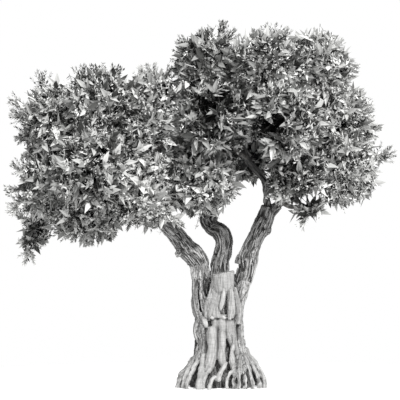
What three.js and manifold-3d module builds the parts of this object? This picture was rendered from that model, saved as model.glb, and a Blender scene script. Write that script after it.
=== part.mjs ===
// An old olive tree, cut off flat at the ground: a trunk of fused strands on a spreading root flare,
// a sawn stub, three boughs, the limbs inside the crown and the masses of foliage that they carry.
// Millimetres, +Z up, +X to the right of the tree's front, +Y to its back.
// The origin is the middle of the flat cut under the trunk.

import * as THREE from "three";
import { mergeVertices } from "three/addons/utils/BufferGeometryUtils.js";
import Module from "manifold-3d";

const wasm = await Module();
wasm.setup();

// Driving sizes
const CLEARANCE = 0.35; // between solids that meet
const ROOT_COUNT = 20; // ridges round the flare
const FLARE_DEPTH = 0.88; // of its width, from front to back
const CORE_SHARE = 0.86; // of a mass's reach that its dense core fills
const CORE_UNEVEN = 0.13; // of that share, inwards and outwards
const TWIG_TRIES = 10; // per mass
const TWIG_SHARE = 0.7; // of the reach, at which a twig's leaves are rooted
const TWIG_SPREAD = 0.1; // by which some twigs are longer
const TWIG_RADIUS = 12;
const TWIG_TAPER = 0.6;
const TWIG_START = 0.4; // of the reach
const SHOOT_START = 0.3; // of the way to its tip
const LEAF_LENGTH = 215; // each leaf stands for a spray
const LEAF_WIDTH = 88;
const LEAF_THICKNESS = 16;
const TWIG_LEANS = [50, 50, 50]; // degrees by which a twig's leaves lean away from it
const SHOOT_LEANS = [0, 38, 38]; // the same on a long shoot, which ends in a straight leaf
const LEAF_WIDEST = 0.42; // of its length
const LEAF_STEP = 4; // between the roots of a twig's leaves
const USUAL_REACH = 380; // of a mass whose leaves have the full length
const LEAST_SIZE = 0.6; // of the leaves in a small mass
const WALL_SHARE = 0.97; // of the way to a wall between two masses that a core fills
const LIMB_THICKNESS = 0.78; // of its bough's
const LIMB_END_RADII = [20, 15];
const LIMB_SAG = 0.1; // of its span
const LIMB_REACH = 0.8; // of the way from a mass's middle, at which a limb ends at the furthest
const LIMB_WALL_SHARE = 0.88; // the same, of the way to a wall
const STEM_RADII = [12, 9]; // of the piece of limb inside a core
const STEM_SHARES = [0.05, 0.3]; // of the way to the middle, at which it starts and stops
const CROWN = new THREE.Box3(new THREE.Vector3(-2110, -1090, 1150), new THREE.Vector3(1680, 1030, 3500));
const CELL_GAP = 8; // kept free between neighbouring masses
const GOLDEN_TURN = Math.PI * (3 - Math.sqrt(5));

const BARK_GREY = new THREE.MeshStandardMaterial({ color: 0xa9a6a0, roughness: 0.9, metalness: 0 });
const LEAF_GREY = new THREE.MeshStandardMaterial({ color: 0x7c8074, roughness: 0.7, metalness: 0 });

const vector = (point) => new THREE.Vector3(...point);

// A repeatable random number from 0 to 1 (mulberry32).
function randomFrom(seed) {
  let state = seed >>> 0;
  return () => {
    state = (state + 0x6d2b79f5) >>> 0;
    let t = state;
    t = Math.imul(t ^ (t >>> 15), t | 1);
    t ^= t + Math.imul(t ^ (t >>> 7), t | 61);
    return ((t ^ (t >>> 14)) >>> 0) / 4294967296;
  };
}

// A closed mesh of shared vertices as a solid, and back again.
function solidFrom(positions, triangles) {
  const geometry = new THREE.BufferGeometry()
    .setAttribute("position", new THREE.Float32BufferAttribute(positions, 3))
    .setIndex(triangles);
  const merged = mergeVertices(geometry, 1e-3);
  return new wasm.Manifold(
    new wasm.Mesh({
      numProp: 3,
      vertProperties: new Float32Array(merged.attributes.position.array),
      triVerts: new Uint32Array(merged.index.array),
    }),
  );
}

function geometryFrom(solid) {
  const mesh = solid.getMesh();
  const geometry = new THREE.BufferGeometry()
    .setAttribute("position", new THREE.BufferAttribute(mesh.vertProperties, 3))
    .setIndex(new THREE.BufferAttribute(mesh.triVerts, 1));
  geometry.computeVertexNormals();
  return geometry;
}

function boxSolid(low, high) {
  const size = vector(high).sub(vector(low));
  const middle = vector(high).add(vector(low)).multiplyScalar(0.5);
  const box = new THREE.BoxGeometry(size.x, size.y, size.z).translate(middle.x, middle.y, middle.z);
  return solidFrom([...box.attributes.position.array], [...box.index.array]);
}

const largestPiece = (solid) =>
  solid.decompose().reduce((best, piece) => (piece.volume() > best.volume() ? piece : best));

// The same solid once points that all but touch are welded, without any scrap that this sets loose.
function welded(solid) {
  const mesh = solid.getMesh();
  return largestPiece(solidFrom([...mesh.vertProperties], [...mesh.triVerts]));
}

// A round tapering limb along a smooth curve through points, with a radius for each point. Knobs make
// it uneven, as olive wood is. from and to are shares of the steps, so that one limb can be made in
// pieces that meet end to end. grow makes the same limb larger all round, to cut with.
function limbSolid(limb, grow = 0) {
  const { points, radii, sides = 6, steps = 4, from = 0, to = 1, knobs = 0, seed = 1 } = limb;
  const curve = new THREE.CatmullRomCurve3(points.map(vector), false, "centripetal");
  const random = randomFrom(seed);
  const uneven = Array.from({ length: (steps + 1) * sides }, () => 1 + knobs * (2 * random() - 1));
  const first = Math.round(from * steps);
  const last = Math.round(to * steps);
  const positions = [];
  const triangles = [];
  const lengthways = (step) => {
    if (step === first) return first > 0 ? CLEARANCE - grow : -grow;
    return step === last ? grow : 0;
  };
  const across = new THREE.Vector3(0.31, -1, 0.17);
  for (let step = 0; step <= last; step++) {
    const t = step / steps;
    const tangent = curve.getTangent(t);
    across.addScaledVector(tangent, -across.dot(tangent)).normalize();
    if (step < first) continue;
    const other = tangent.clone().cross(across);
    const place = t * (radii.length - 1);
    const before = Math.min(Math.floor(place), radii.length - 2);
    const radius = THREE.MathUtils.lerp(radii[before], radii[before + 1], place - before);
    const middle = curve.getPoint(t).addScaledVector(tangent, lengthways(step));
    for (let side = 0; side < sides; side++) {
      const angle = (2 * Math.PI * side) / sides;
      const out = radius * uneven[step * sides + side] + grow / Math.cos(Math.PI / sides);
      const corner = middle
        .clone()
        .addScaledVector(across, out * Math.cos(angle))
        .addScaledVector(other, out * Math.sin(angle));
      positions.push(...corner.toArray());
    }
  }
  const rings = last - first;
  const at = (ring, side) => ring * sides + (side % sides);
  for (let ring = 0; ring < rings; ring++)
    for (let side = 0; side < sides; side++) {
      triangles.push(at(ring, side), at(ring, side + 1), at(ring + 1, side + 1));
      triangles.push(at(ring, side), at(ring + 1, side + 1), at(ring + 1, side));
    }
  for (let side = 1; side < sides - 1; side++) {
    triangles.push(at(0, 0), at(0, side + 1), at(0, side));
    triangles.push(at(rings, 0), at(rings, side), at(rings, side + 1));
  }
  return solidFrom(positions, triangles);
}

// The flare and bole: half-width, middle and how far the root ridges stand out, at heights above ground.
const FLARE = [
  { height: 0, half: 400, middle: -4, ridge: 38 },
  { height: 70, half: 397, middle: -4, ridge: 38 },
  { height: 130, half: 384, middle: -5, ridge: 34 },
  { height: 185, half: 346, middle: -4, ridge: 28 },
  { height: 245, half: 302, middle: 8, ridge: 24 },
  { height: 310, half: 256, middle: 8, ridge: 18 },
  { height: 400, half: 222, middle: -20, ridge: 12 },
  { height: 550, half: 205, middle: -40, ridge: 8 },
  { height: 720, half: 195, middle: -45, ridge: 6 },
  { height: 900, half: 165, middle: -40, ridge: 4 },
];

function flareSolid(grow = 0) {
  const random = randomFrom(7);
  const prominence = Array.from({ length: ROOT_COUNT }, () => 0.5 + random());
  const sides = 2 * ROOT_COUNT;
  const last = FLARE.length - 1;
  const positions = [];
  const triangles = [];
  FLARE.forEach(({ height, half, middle, ridge }, level) => {
    const z = height + (level === 0 ? -grow : 0) + (level === last ? grow : 0);
    for (let side = 0; side < sides; side++) {
      const angle = (2 * Math.PI * side) / sides;
      const out = half + grow + (side % 2 ? -ridge : ridge * prominence[side / 2]);
      positions.push(middle + out * Math.cos(angle), FLARE_DEPTH * out * Math.sin(angle), z);
    }
    const [below, here] = [(level - 1) * sides, level * sides];
    for (let side = 0; side < sides && level > 0; side++) {
      const next = (side + 1) % sides;
      triangles.push(below + side, below + next, here + next, below + side, here + next, here + side);
    }
  });
  const top = last * sides;
  positions.push(FLARE[0].middle, 0, -grow, FLARE[last].middle, 0, FLARE[last].height + grow);
  const [underHub, topHub] = [top + sides, top + sides + 1];
  for (let side = 0; side < sides; side++) {
    const next = (side + 1) % sides;
    triangles.push(underHub, next, side, topHub, top + side, top + next);
  }
  return solidFrom(positions, triangles);
}

// Strands fused round the bole, as old olives grow. The left one runs on up to carry the left bough, the
// right one carries the right bough, and those at the back stop below the centre bough.
const STRANDS = [
  {
    points: [
      [-215, -60, 130], [-196, -50, 300], [-180, -45, 500], [-186, -25, 780], [-184, -10, 1010],
      [-205, -12, 1190],
    ],
    radii: [90, 86, 96, 116, 114, 106],
    sides: 9,
    steps: 7,
    knobs: 0.06,
  },
  {
    points: [[-90, -235, 120], [-95, -160, 320], [-80, -135, 560], [-40, -90, 820]],
    radii: [70, 80, 92, 90],
    knobs: 0.05,
  },
  {
    points: [[75, -235, 120], [45, -165, 320], [48, -140, 560], [40, -90, 820]],
    radii: [60, 70, 84, 84],
    knobs: 0.05,
  },
  {
    points: [[185, -40, 130], [140, -40, 320], [112, -30, 520], [112, -10, 700], [150, 0, 890]],
    radii: [84, 80, 86, 90, 88],
    sides: 8,
    knobs: 0.05,
  },
  {
    points: [[-150, 150, 130], [-140, 130, 360], [-115, 130, 640], [-95, 90, 960]],
    radii: [90, 90, 92, 80],
    knobs: 0.05,
  },
  {
    points: [[40, 190, 130], [20, 150, 360], [30, 140, 640], [-10, 110, 990]],
    radii: [95, 92, 90, 80],
    knobs: 0.05,
  },
];

// The stub of a bough that was sawn off. Its top is a flat cut that rises to the right.
const STUB = {
  points: [[-8, -60, 600], [2, -78, 800], [14, -85, 980], [18, -92, 1180]],
  radii: [150, 138, 124, 118],
  sides: 10,
};
const STUB_CUT_HEIGHT = 1110;
const STUB_CUT_SLOPE = 7; // degrees

function trunkSolid(grow = 0) {
  const sawnOff = boxSolid([-400, -400, 0], [400, 300, 400])
    .rotate([0, -STUB_CUT_SLOPE, 0])
    .translate([STUB.points.at(-1)[0], 0, STUB_CUT_HEIGHT + grow]);
  const strands = STRANDS.map((strand) => limbSolid(strand, grow));
  return wasm.Manifold.union([flareSolid(grow), ...strands, limbSolid(STUB, grow).subtract(sawnOff)]);
}

// The boughs that show, and the limbs inside the crown that carry on from them.
const CENTRE_BOUGH = {
  points: [
    [-20, 80, 880], [-20, 90, 1150], [10, 100, 1300], [16, 105, 1405], [-24, 115, 1495],
    [-102, 125, 1532], [-154, 130, 1595], [-142, 140, 1700], [-152, 150, 1840], [-165, 150, 1960],
  ],
  radii: [96, 94, 90, 92, 86, 78, 66, 54, 44, 36],
  sides: 8,
  steps: 18,
  knobs: 0.05,
};
const BOUGHS = {
  bough_left: {
    points: [
      [-190, -10, 1090], [-240, -12, 1228], [-333, -20, 1324], [-432, -40, 1452], [-550, -60, 1565],
      [-660, -80, 1690], [-790, -80, 1860],
    ],
    radii: [100, 106, 102, 88, 72, 60, 48],
    sides: 9,
    steps: 10,
    knobs: 0.07,
  },
  bough_centre_lower: { ...CENTRE_BOUGH, to: 8 / 18 },
  bough_centre_elbow: { ...CENTRE_BOUGH, from: 8 / 18, to: 12 / 18 },
  bough_centre_upper: { ...CENTRE_BOUGH, from: 12 / 18 },
  bough_right: {
    points: [
      [118, 0, 800], [178, 0, 950], [232, 0, 1110], [254, 0, 1258], [307, 0, 1393], [369, 0, 1518],
      [424, 0, 1643], [452, 0, 1725],
    ],
    radii: [86, 90, 96, 97, 82, 94, 82, 74],
    sides: 9,
    steps: 10,
    knobs: 0.06,
  },
  bough_right_upright: {
    points: [
      [435, 0, 1690], [425, 0, 1850], [418, 15, 1950], [365, 35, 2040], [295, 50, 2120], [225, 60, 2230],
      [190, 65, 2400], [200, 60, 2580],
    ],
    radii: [44, 42, 42, 40, 38, 34, 28, 22],
    steps: 8,
  },
  bough_right_fork: {
    points: [
      [465, 0, 1700], [560, -20, 1768], [700, -45, 1830], [820, -50, 1950], [930, -40, 2130],
      [1020, -30, 2310],
    ],
    radii: [44, 42, 38, 34, 28, 22],
    steps: 6,
  },
  bough_left_outer: {
    points: [[-765, -80, 1830], [-900, -50, 1915], [-1080, -20, 1985], [-1280, 0, 2030], [-1450, 0, 2090]],
    radii: [44, 42, 38, 32, 24],
    steps: 5,
  },
};

// Each mass of foliage: its middle and reach, the bough and the share of its length where its own limb
// leaves, and the tips of long shoots that stand out beyond the others.
const MASSES = {
  left_top_outer: {
    middle: [-1615, -170, 2550],
    reach: [335, 370, 410],
    on: ["bough_left_outer", 0.97],
    shoots: [[-1770, -110, 3040], [-2060, -150, 2770]],
  },
  left_top_middle: {
    middle: [-1150, -440, 2660],
    reach: [400, 390, 420],
    on: ["bough_left_outer", 0.6],
    shoots: [[-1200, -350, 3080], [-1430, -350, 3050], [-975, -300, 3075]],
  },
  left_top_inner: {
    middle: [-670, -120, 2680],
    reach: [360, 370, 395],
    on: ["bough_left", 0.93],
    shoots: [[-650, -90, 3110], [-470, -90, 3080]],
  },
  left_middle_outer: {
    middle: [-1650, -130, 1950],
    reach: [345, 360, 390],
    on: ["bough_left_outer", 0.9],
    shoots: [[-2105, -60, 1930], [-2060, -90, 1680]],
  },
  left_front: {
    middle: [-1190, -700, 2080],
    reach: [430, 380, 420],
    on: ["bough_left_outer", 0.38],
  },
  left_tail: {
    middle: [-1770, -40, 1500],
    reach: [155, 155, 240],
    on: ["bough_left_outer", 0.8],
    shoots: [[-1910, -30, 1150], [-1990, -60, 1640]],
  },
  left_low_middle: {
    middle: [-1260, -190, 1690],
    reach: [430, 390, 315],
    on: ["bough_left_outer", 0.5],
    shoots: [[-1240, -150, 1320], [-1500, -150, 1400], [-1010, -200, 1420]],
  },
  left_low_inner: {
    middle: [-770, -410, 1910],
    reach: [400, 380, 440],
    on: ["bough_left", 0.84],
    shoots: [[-340, -380, 1500], [-620, -420, 1490], [-900, -400, 1470]],
  },
  left_back_outer: {
    middle: [-1490, 530, 2270],
    reach: [440, 430, 500],
    on: ["bough_left_outer", 0.7],
  },
  left_back_inner: {
    middle: [-900, 600, 2270],
    reach: [460, 420, 540],
    on: ["bough_left_outer", 0.25],
  },
  right_top_inner: {
    middle: [-150, -130, 3090],
    reach: [360, 360, 370],
    on: ["bough_right_upright", 0.97],
    shoots: [[60, -120, 3500], [-440, -120, 3320], [130, -150, 3440]],
  },
  right_top_middle: {
    middle: [400, -400, 3055],
    reach: [380, 370, 390],
    on: ["bough_right_upright", 0.92],
    shoots: [[520, -330, 3470], [640, -300, 3420]],
  },
  right_top_outer: {
    middle: [860, -150, 3040],
    reach: [400, 380, 390],
    on: ["bough_right_fork", 0.97],
    shoots: [[1160, -120, 3330], [1340, -120, 3075]],
  },
  right_front: {
    middle: [590, -700, 2520],
    reach: [430, 380, 400],
    on: ["bough_right_fork", 0.6],
  },
  right_outer: {
    middle: [1130, -120, 2540],
    reach: [360, 370, 380],
    on: ["bough_right_fork", 0.9],
    shoots: [[1470, -100, 2660]],
  },
  right_low_outer: {
    middle: [1165, -150, 2090],
    reach: [365, 360, 375],
    on: ["bough_right_fork", 0.75],
    shoots: [[1678, -150, 2250], [1240, -150, 1720], [1010, -160, 1740]],
  },
  right_low_inner: {
    middle: [740, -350, 2070],
    reach: [350, 350, 330],
    on: ["bough_right_fork", 0.4],
    shoots: [[490, -330, 1840]],
  },
  right_low_tuft: {
    middle: [850, -240, 1690],
    reach: [160, 150, 105],
    on: ["bough_right_fork", 0.22],
    shoots: [[790, -260, 1540], [1000, -240, 1650]],
  },
  right_back_inner: {
    middle: [420, 530, 2800],
    reach: [470, 420, 560],
    on: ["bough_right_upright", 0.82],
  },
  right_back_outer: {
    middle: [1020, 560, 2480],
    reach: [470, 420, 520],
    on: ["bough_right_fork", 0.82],
  },
  right_inner: {
    middle: [270, 370, 2210],
    reach: [280, 250, 260],
    on: ["bough_right_upright", 0.42],
  },
  centre_front: {
    middle: [-80, -480, 2560],
    reach: [400, 380, 400],
    on: ["bough_right_upright", 0.7],
  },
  centre_low: {
    middle: [-245, -310, 2010],
    reach: [400, 350, 395],
    on: ["bough_centre_upper", 0.9],
    shoots: [[190, -280, 1820], [-130, -280, 1630], [-420, -330, 1700], [-320, -300, 1600]],
  },
  centre_back: {
    middle: [-210, 530, 2480],
    reach: [460, 400, 540],
    on: ["bough_centre_upper", 0.97],
  },
};
for (const mass of Object.values(MASSES)) {
  mass.middle = vector(mass.middle);
  mass.reach = vector(mass.reach);
  mass.shoots = (mass.shoots ?? []).map(vector);
}

// How far an ellipsoid of these half-sizes reaches in a direction.
const supportOf = (reach, way) => way.clone().multiply(reach).length();

// The flat walls between a mass and its neighbours. A mass keeps to its own side of each.
function wallsOf(mass) {
  return Object.values(MASSES)
    .filter((other) => other !== mass)
    .map((other) => {
      const way = other.middle.clone().sub(mass.middle);
      const apart = way.length();
      way.divideScalar(apart);
      const mine = supportOf(mass.reach, way);
      const theirs = supportOf(other.reach, way);
      return { way, limit: (apart * mine) / (mine + theirs) - CELL_GAP / 2 };
    });
}

const insideWalls = (mass, point, walls) =>
  walls.every(({ way, limit }) => point.clone().sub(mass.middle).dot(way) <= limit);

// The share of an offset from the mass's middle that stays inside its walls.
function shareInsideWalls(offset, walls) {
  return walls.reduce((share, { way, limit }) => {
    const towards = offset.dot(way);
    return towards > 0 ? Math.min(share, limit / towards) : share;
  }, Infinity);
}

// The limb that carries a mass: from its bough to the skin of the mass's core.
function massLimb(mass) {
  const [bough, share] = mass.on;
  const { points, radii, from = 0, to = 1 } = BOUGHS[bough];
  const t = from + share * (to - from);
  const start = new THREE.CatmullRomCurve3(points.map(vector), false, "centripetal").getPoint(t);
  const place = t * (radii.length - 1);
  const before = Math.min(Math.floor(place), radii.length - 2);
  const boughRadius = THREE.MathUtils.lerp(radii[before], radii[before + 1], place - before);
  const back = start.clone().sub(mass.middle);
  const skin = CORE_SHARE / back.clone().divide(mass.reach).length();
  const inward = Math.min(skin, LIMB_WALL_SHARE * shareInsideWalls(back, wallsOf(mass)), LIMB_REACH);
  const end = mass.middle.clone().addScaledVector(back, inward);
  const span = end.distanceTo(start);
  const bend = start.clone().lerp(end, 0.5).add(new THREE.Vector3(0, 0, -LIMB_SAG * span));
  return {
    points: [start.toArray(), bend.toArray(), end.toArray()],
    radii: [LIMB_THICKNESS * boughRadius, ...LIMB_END_RADII],
    sides: 5,
    steps: 2,
  };
}

// A dense core: a ball of facets drawn out to a share of the reach, uneven, and kept inside the walls.
function coreSolid(mass, walls, random) {
  const facets = new THREE.IcosahedronGeometry(1, 1).deleteAttribute("normal").deleteAttribute("uv");
  const ball = mergeVertices(facets);
  const corners = ball.attributes.position;
  const positions = [];
  for (let i = 0; i < corners.count; i++) {
    const offset = new THREE.Vector3().fromBufferAttribute(corners, i).multiply(mass.reach);
    const share = CORE_SHARE * (1 + CORE_UNEVEN * (2 * random() - 1));
    offset.multiplyScalar(Math.min(share, WALL_SHARE * shareInsideWalls(offset, walls)));
    positions.push(...offset.add(mass.middle).toArray());
  }
  return solidFrom(positions, [...ball.index.array]);
}

// A straight three-sided twig.
function twigSolid(start, end, thick, thin) {
  return limbSolid({ points: [start.toArray(), end.toArray()], radii: [thick, thin], sides: 3, steps: 1 });
}

// A lance-shaped leaf of eight faces: root, tip, two edges and a raised midrib on each side.
function leafSolid(root, tip, flat, size) {
  const along = tip.clone().sub(root);
  const edge = along.clone().cross(flat).normalize();
  const up = edge.clone().cross(along).normalize();
  const widest = root.clone().addScaledVector(along, LEAF_WIDEST);
  const corner = (way, distance) => widest.clone().addScaledVector(way, distance).toArray();
  const positions = [
    ...root.toArray(),
    ...tip.toArray(),
    ...corner(edge, (size * LEAF_WIDTH) / 2),
    ...corner(edge, (-size * LEAF_WIDTH) / 2),
    ...corner(up, LEAF_THICKNESS / 2),
    ...corner(up, -LEAF_THICKNESS / 2),
  ];
  const [r, t, left, right, top, under] = [0, 1, 2, 3, 4, 5];
  const faces = [
    [r, left, top], [r, top, right], [r, right, under], [r, under, left],
    [t, top, left], [t, right, top], [t, under, right], [t, left, under],
  ];
  const solid = solidFrom(positions, faces.flat());
  return solid.volume() > 0 ? solid : solidFrom(positions, faces.map(([a, b, c]) => [a, c, b]).flat());
}

// The ways in which a mass's twigs leave its middle: evenly spread by the golden angle.
function twigWays(count, phase) {
  return Array.from({ length: count }, (_, i) => {
    const height = 1 - (2 * i + 1) / count;
    const flat = Math.sqrt(1 - height * height);
    const angle = i * GOLDEN_TURN + phase;
    return new THREE.Vector3(flat * Math.cos(angle), flat * Math.sin(angle), height);
  });
}

// The leaves at a twig's end: a star of them that leans outwards, turned at random about the twig.
function leafStar(root, way, leans, size, random) {
  const across = new THREE.Vector3(random() - 0.5, random() - 0.5, random() - 0.5).cross(way).normalize();
  return leans.map((lean, i) => {
    const tilt = THREE.MathUtils.degToRad(lean);
    const turned = across.clone().applyAxisAngle(way, (2 * Math.PI * i) / leans.length);
    const along = way.clone().multiplyScalar(Math.cos(tilt)).addScaledVector(turned, Math.sin(tilt));
    const length = size * LEAF_LENGTH * (lean ? 0.85 + 0.3 * random() : 1);
    const leafRoot = root.clone().addScaledVector(way, -LEAF_STEP * i);
    return leafSolid(leafRoot, root.clone().addScaledVector(along, length), lean ? way : across, size);
  });
}

function massSolid(mass, index, limbEnd, limbs, cutter) {
  const random = randomFrom(100 + index);
  const walls = wallsOf(mass);
  const parts = [coreSolid(mass, walls, random)];
  const beyondLimb = limbEnd.clone().lerp(mass.middle, -STEM_SHARES[0]);
  parts.push(twigSolid(beyondLimb, mass.middle.clone().lerp(limbEnd, STEM_SHARES[1]), ...STEM_RADII));
  const size = Math.max(LEAST_SIZE, Math.cbrt(mass.reach.x * mass.reach.y * mass.reach.z) / USUAL_REACH);
  const keepsToSpace = (point) => insideWalls(mass, point, walls) && CROWN.containsPoint(point);
  const fits = (solid) => {
    const { vertProperties, numProp } = solid.getMesh();
    for (let i = 0; i < vertProperties.length; i += numProp)
      if (!keepsToSpace(new THREE.Vector3().fromArray(vertProperties, i))) return false;
    return solid.intersect(limbs).isEmpty();
  };
  const addTwig = (start, end, leans) => {
    const stick = twigSolid(start, end, TWIG_RADIUS, TWIG_TAPER * TWIG_RADIUS);
    if (!fits(stick)) return;
    const way = end.clone().sub(start).normalize();
    parts.push(stick, ...leafStar(end, way, leans, size, random).filter(fits));
  };
  for (const tip of mass.shoots) {
    const way = tip.clone().sub(mass.middle).normalize();
    const end = tip.clone().addScaledVector(way, -size * LEAF_LENGTH);
    addTwig(mass.middle.clone().lerp(tip, SHOOT_START), end, SHOOT_LEANS);
  }
  for (const way of twigWays(TWIG_TRIES, index)) {
    const share = TWIG_SHARE + TWIG_SPREAD * random();
    const offset = way.multiply(mass.reach);
    const at = (part) => mass.middle.clone().addScaledVector(offset, part);
    addTwig(at(TWIG_START), at(share), TWIG_LEANS);
  }
  return welded(largestPiece(wasm.Manifold.union(parts).subtract(cutter)));
}

// Assembly. Each limb is cut clear of the wood that was there before it, so that it starts on its face.
const tree = new THREE.Group();

function addNode(name, solid, material) {
  const mesh = new THREE.Mesh(geometryFrom(solid), material);
  mesh.name = name;
  tree.add(mesh);
}

const trunk = welded(trunkSolid());
addNode("trunk", trunk, BARK_GREY);
const wood = [trunk];
const woodToCut = [trunkSolid(CLEARANCE)];

function addLimb(name, limb) {
  const solid = welded(largestPiece(limbSolid(limb).subtract(wasm.Manifold.union(woodToCut))));
  addNode(name, solid, BARK_GREY);
  return { solid, cut: limbSolid(limb, CLEARANCE) };
}

for (const [name, limb] of Object.entries(BOUGHS)) {
  const { solid, cut } = addLimb(name, { seed: name.length, ...limb });
  wood.push(solid);
  woodToCut.push(cut);
}
const limbOf = {};
for (const [name, mass] of Object.entries(MASSES)) {
  limbOf[name] = massLimb(mass);
  const { solid, cut } = addLimb("limb_" + name, limbOf[name]);
  wood.push(solid);
  woodToCut.push(cut);
}
const allWood = wasm.Manifold.union(wood);
const allCutters = wasm.Manifold.union(woodToCut);
Object.entries(MASSES).forEach(([name, mass], index) => {
  const limbEnd = vector(limbOf[name].points.at(-1));
  addNode("foliage_" + name, massSolid(mass, index, limbEnd, allWood, allCutters), LEAF_GREY);
});

export default tree;
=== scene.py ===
# %% [markdown]
# # An old olive tree, cell by cell
# The tree arrives as solids: a trunk, its boughs, the limbs and the masses of foliage. They already have
# the true size and place, so every piece below is made in metres in the same frame, and stands for the
# solids that it covers. This first cell reads the solids and keeps their box, because most sprays and the
# stars of the crown are kept within it.

# %% Load the solids and keep their box
import bmesh
import bpy
import math
import numpy as np
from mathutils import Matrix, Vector


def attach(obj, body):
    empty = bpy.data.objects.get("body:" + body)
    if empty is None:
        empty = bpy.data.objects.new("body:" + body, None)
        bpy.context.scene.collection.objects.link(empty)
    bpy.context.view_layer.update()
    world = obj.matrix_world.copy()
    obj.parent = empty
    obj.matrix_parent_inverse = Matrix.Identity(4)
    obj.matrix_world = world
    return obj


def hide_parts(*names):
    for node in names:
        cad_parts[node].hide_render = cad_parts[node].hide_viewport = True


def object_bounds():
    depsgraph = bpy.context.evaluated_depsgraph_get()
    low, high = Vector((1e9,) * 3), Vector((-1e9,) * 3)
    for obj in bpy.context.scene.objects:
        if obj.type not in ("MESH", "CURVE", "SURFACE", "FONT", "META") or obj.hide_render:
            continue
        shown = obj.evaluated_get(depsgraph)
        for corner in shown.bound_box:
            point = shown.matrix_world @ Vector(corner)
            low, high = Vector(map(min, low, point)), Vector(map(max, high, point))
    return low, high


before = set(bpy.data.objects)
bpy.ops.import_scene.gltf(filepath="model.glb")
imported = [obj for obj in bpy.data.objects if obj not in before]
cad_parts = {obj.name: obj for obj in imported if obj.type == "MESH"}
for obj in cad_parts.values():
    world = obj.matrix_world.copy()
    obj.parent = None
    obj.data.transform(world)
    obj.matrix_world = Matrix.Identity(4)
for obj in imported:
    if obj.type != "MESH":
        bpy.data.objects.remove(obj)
cad_low, cad_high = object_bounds()
nodes = sorted(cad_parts)
print("solids:", len(nodes), "box:", [round(v, 3) for v in (*cad_low, *cad_high)])

# %% [markdown]
# Sizes in the tables below are in millimetres, as on a drawing, and are turned to metres where they are
# used. Anything that looks accidental, such as where a leaf points, comes from a random source with its
# own fixed seed, so that the tree grows the same at every run.

# %% Millimetres and repeatable chance
MM = 0.001
UP = np.array([0.0, 0.0, 1.0])


def metres(values):
    return np.array(values, float) * MM


def chance(name):
    return np.random.default_rng(sum((i + 1) * ord(letter) for i, letter in enumerate(name)))


def unit(vectors):
    return vectors / np.maximum(np.linalg.norm(vectors, axis=-1, keepdims=True), 1e-9)


# %% [markdown]
# Node trees are easier to read as sums. Wire holds one socket, and adding or multiplying wires adds the
# Math nodes that do it. NodeMaker adds any other node from its type, its settings and its inputs.

# %% Sums that build nodes
class Wire:
    """One output socket that Python's own signs can work on."""

    def __init__(self, maker, socket):
        self.maker = maker
        self.socket = socket

    def sum(self, operation, first, second):
        return self.maker.add("ShaderNodeMath", {"operation": operation}, {0: first, 1: second})["Value"]

    def __add__(self, other):
        return self.sum("ADD", self, other)

    def __radd__(self, other):
        return self.sum("ADD", other, self)

    def __sub__(self, other):
        return self.sum("SUBTRACT", self, other)

    def __rsub__(self, other):
        return self.sum("SUBTRACT", other, self)

    def __mul__(self, other):
        return self.sum("MULTIPLY", self, other)

    def __abs__(self):
        return self.sum("ABSOLUTE", self, 0.0)

    def step(self, low, high):
        """0 below low, 1 above high and smooth between them."""
        settings = {"interpolation_type": "SMOOTHSTEP"}
        values = {"Value": self, "From Min": low, "From Max": high}
        return self.maker.add("ShaderNodeMapRange", settings, values)["Result"]


class Made:
    """A node's outputs as wires, by name or by number."""

    def __init__(self, maker, node):
        self.maker = maker
        self.node = node

    def __getitem__(self, key):
        return Wire(self.maker, self.node.outputs[key])


class NodeMaker:
    """Adds nodes to one tree."""

    def __init__(self, tree):
        self.tree = tree

    def add(self, kind, settings=None, values=None):
        node = self.tree.nodes.new(kind)
        for name, value in (settings or {}).items():
            setattr(node, name, value)
        for name, value in (values or {}).items():
            self.feed(node.inputs[name], value)
        return Made(self, node)

    def feed(self, socket, value):
        """Gives an input a wire or a plain value."""
        if isinstance(value, Wire):
            self.tree.links.new(value.socket, socket)
        else:
            socket.default_value = value

    def attribute(self, name):
        """An attribute of the piece, read in a material."""
        return self.add("ShaderNodeAttribute", {"attribute_name": name})

    def scaled(self, vector, by):
        """A vector times another, axis by axis."""
        return self.add("ShaderNodeVectorMath", {"operation": "MULTIPLY"}, {0: vector, 1: by})["Vector"]

    def noise(self, vector, scale, detail):
        values = {"Vector": vector, "Scale": scale, "Detail": detail}
        return self.add("ShaderNodeTexNoise", None, values)["Fac"]

    def blend(self, factor, first, second):
        """One colour over another."""
        settings = {"data_type": "RGBA", "clamp_factor": True}
        return self.add("ShaderNodeMix", settings, {0: factor, 6: first, 7: second})[2]


# %% [markdown]
# Most cells below place an object, fill a mesh from an array or open a new finish, so each of these has
# a short function.

# %% Objects, meshes and finishes
def placed(name, data):
    """A new object with the given data, in the scene."""
    piece = bpy.data.objects.new(name, data)
    bpy.context.scene.collection.objects.link(piece)
    return piece


def places_of(mesh):
    places = np.empty(len(mesh.vertices) * 3, np.float32)
    mesh.vertices.foreach_get("co", places)
    return places.reshape(-1, 3).astype(float)


def set_places(mesh, places):
    mesh.vertices.foreach_set("co", places.astype(np.float32).ravel())
    mesh.update()


def mesh_of_points(name, places):
    mesh = bpy.data.meshes.new(name)
    mesh.vertices.add(len(places))
    set_places(mesh, places)
    return mesh


def write(mesh, name, kind, values):
    """Keeps one value for each point of the mesh, under a name."""
    attribute = mesh.attributes.new(name, kind, "POINT")
    field = "vector" if kind == "FLOAT_VECTOR" else "value"
    values = np.asarray(values, np.int32 if kind == "INT" else np.float32)
    attribute.data.foreach_set(field, values.ravel())


def new_paint(name, **constants):
    """A new finish, and a maker and the shader's inputs to build it with."""
    paint = bpy.data.materials.new(name)
    paint.use_nodes = True
    inputs = paint.node_tree.nodes["Principled BSDF"].inputs
    for socket, value in constants.items():
        inputs[socket.replace("_", " ")].default_value = value
    return paint, NodeMaker(paint.node_tree), inputs


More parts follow.
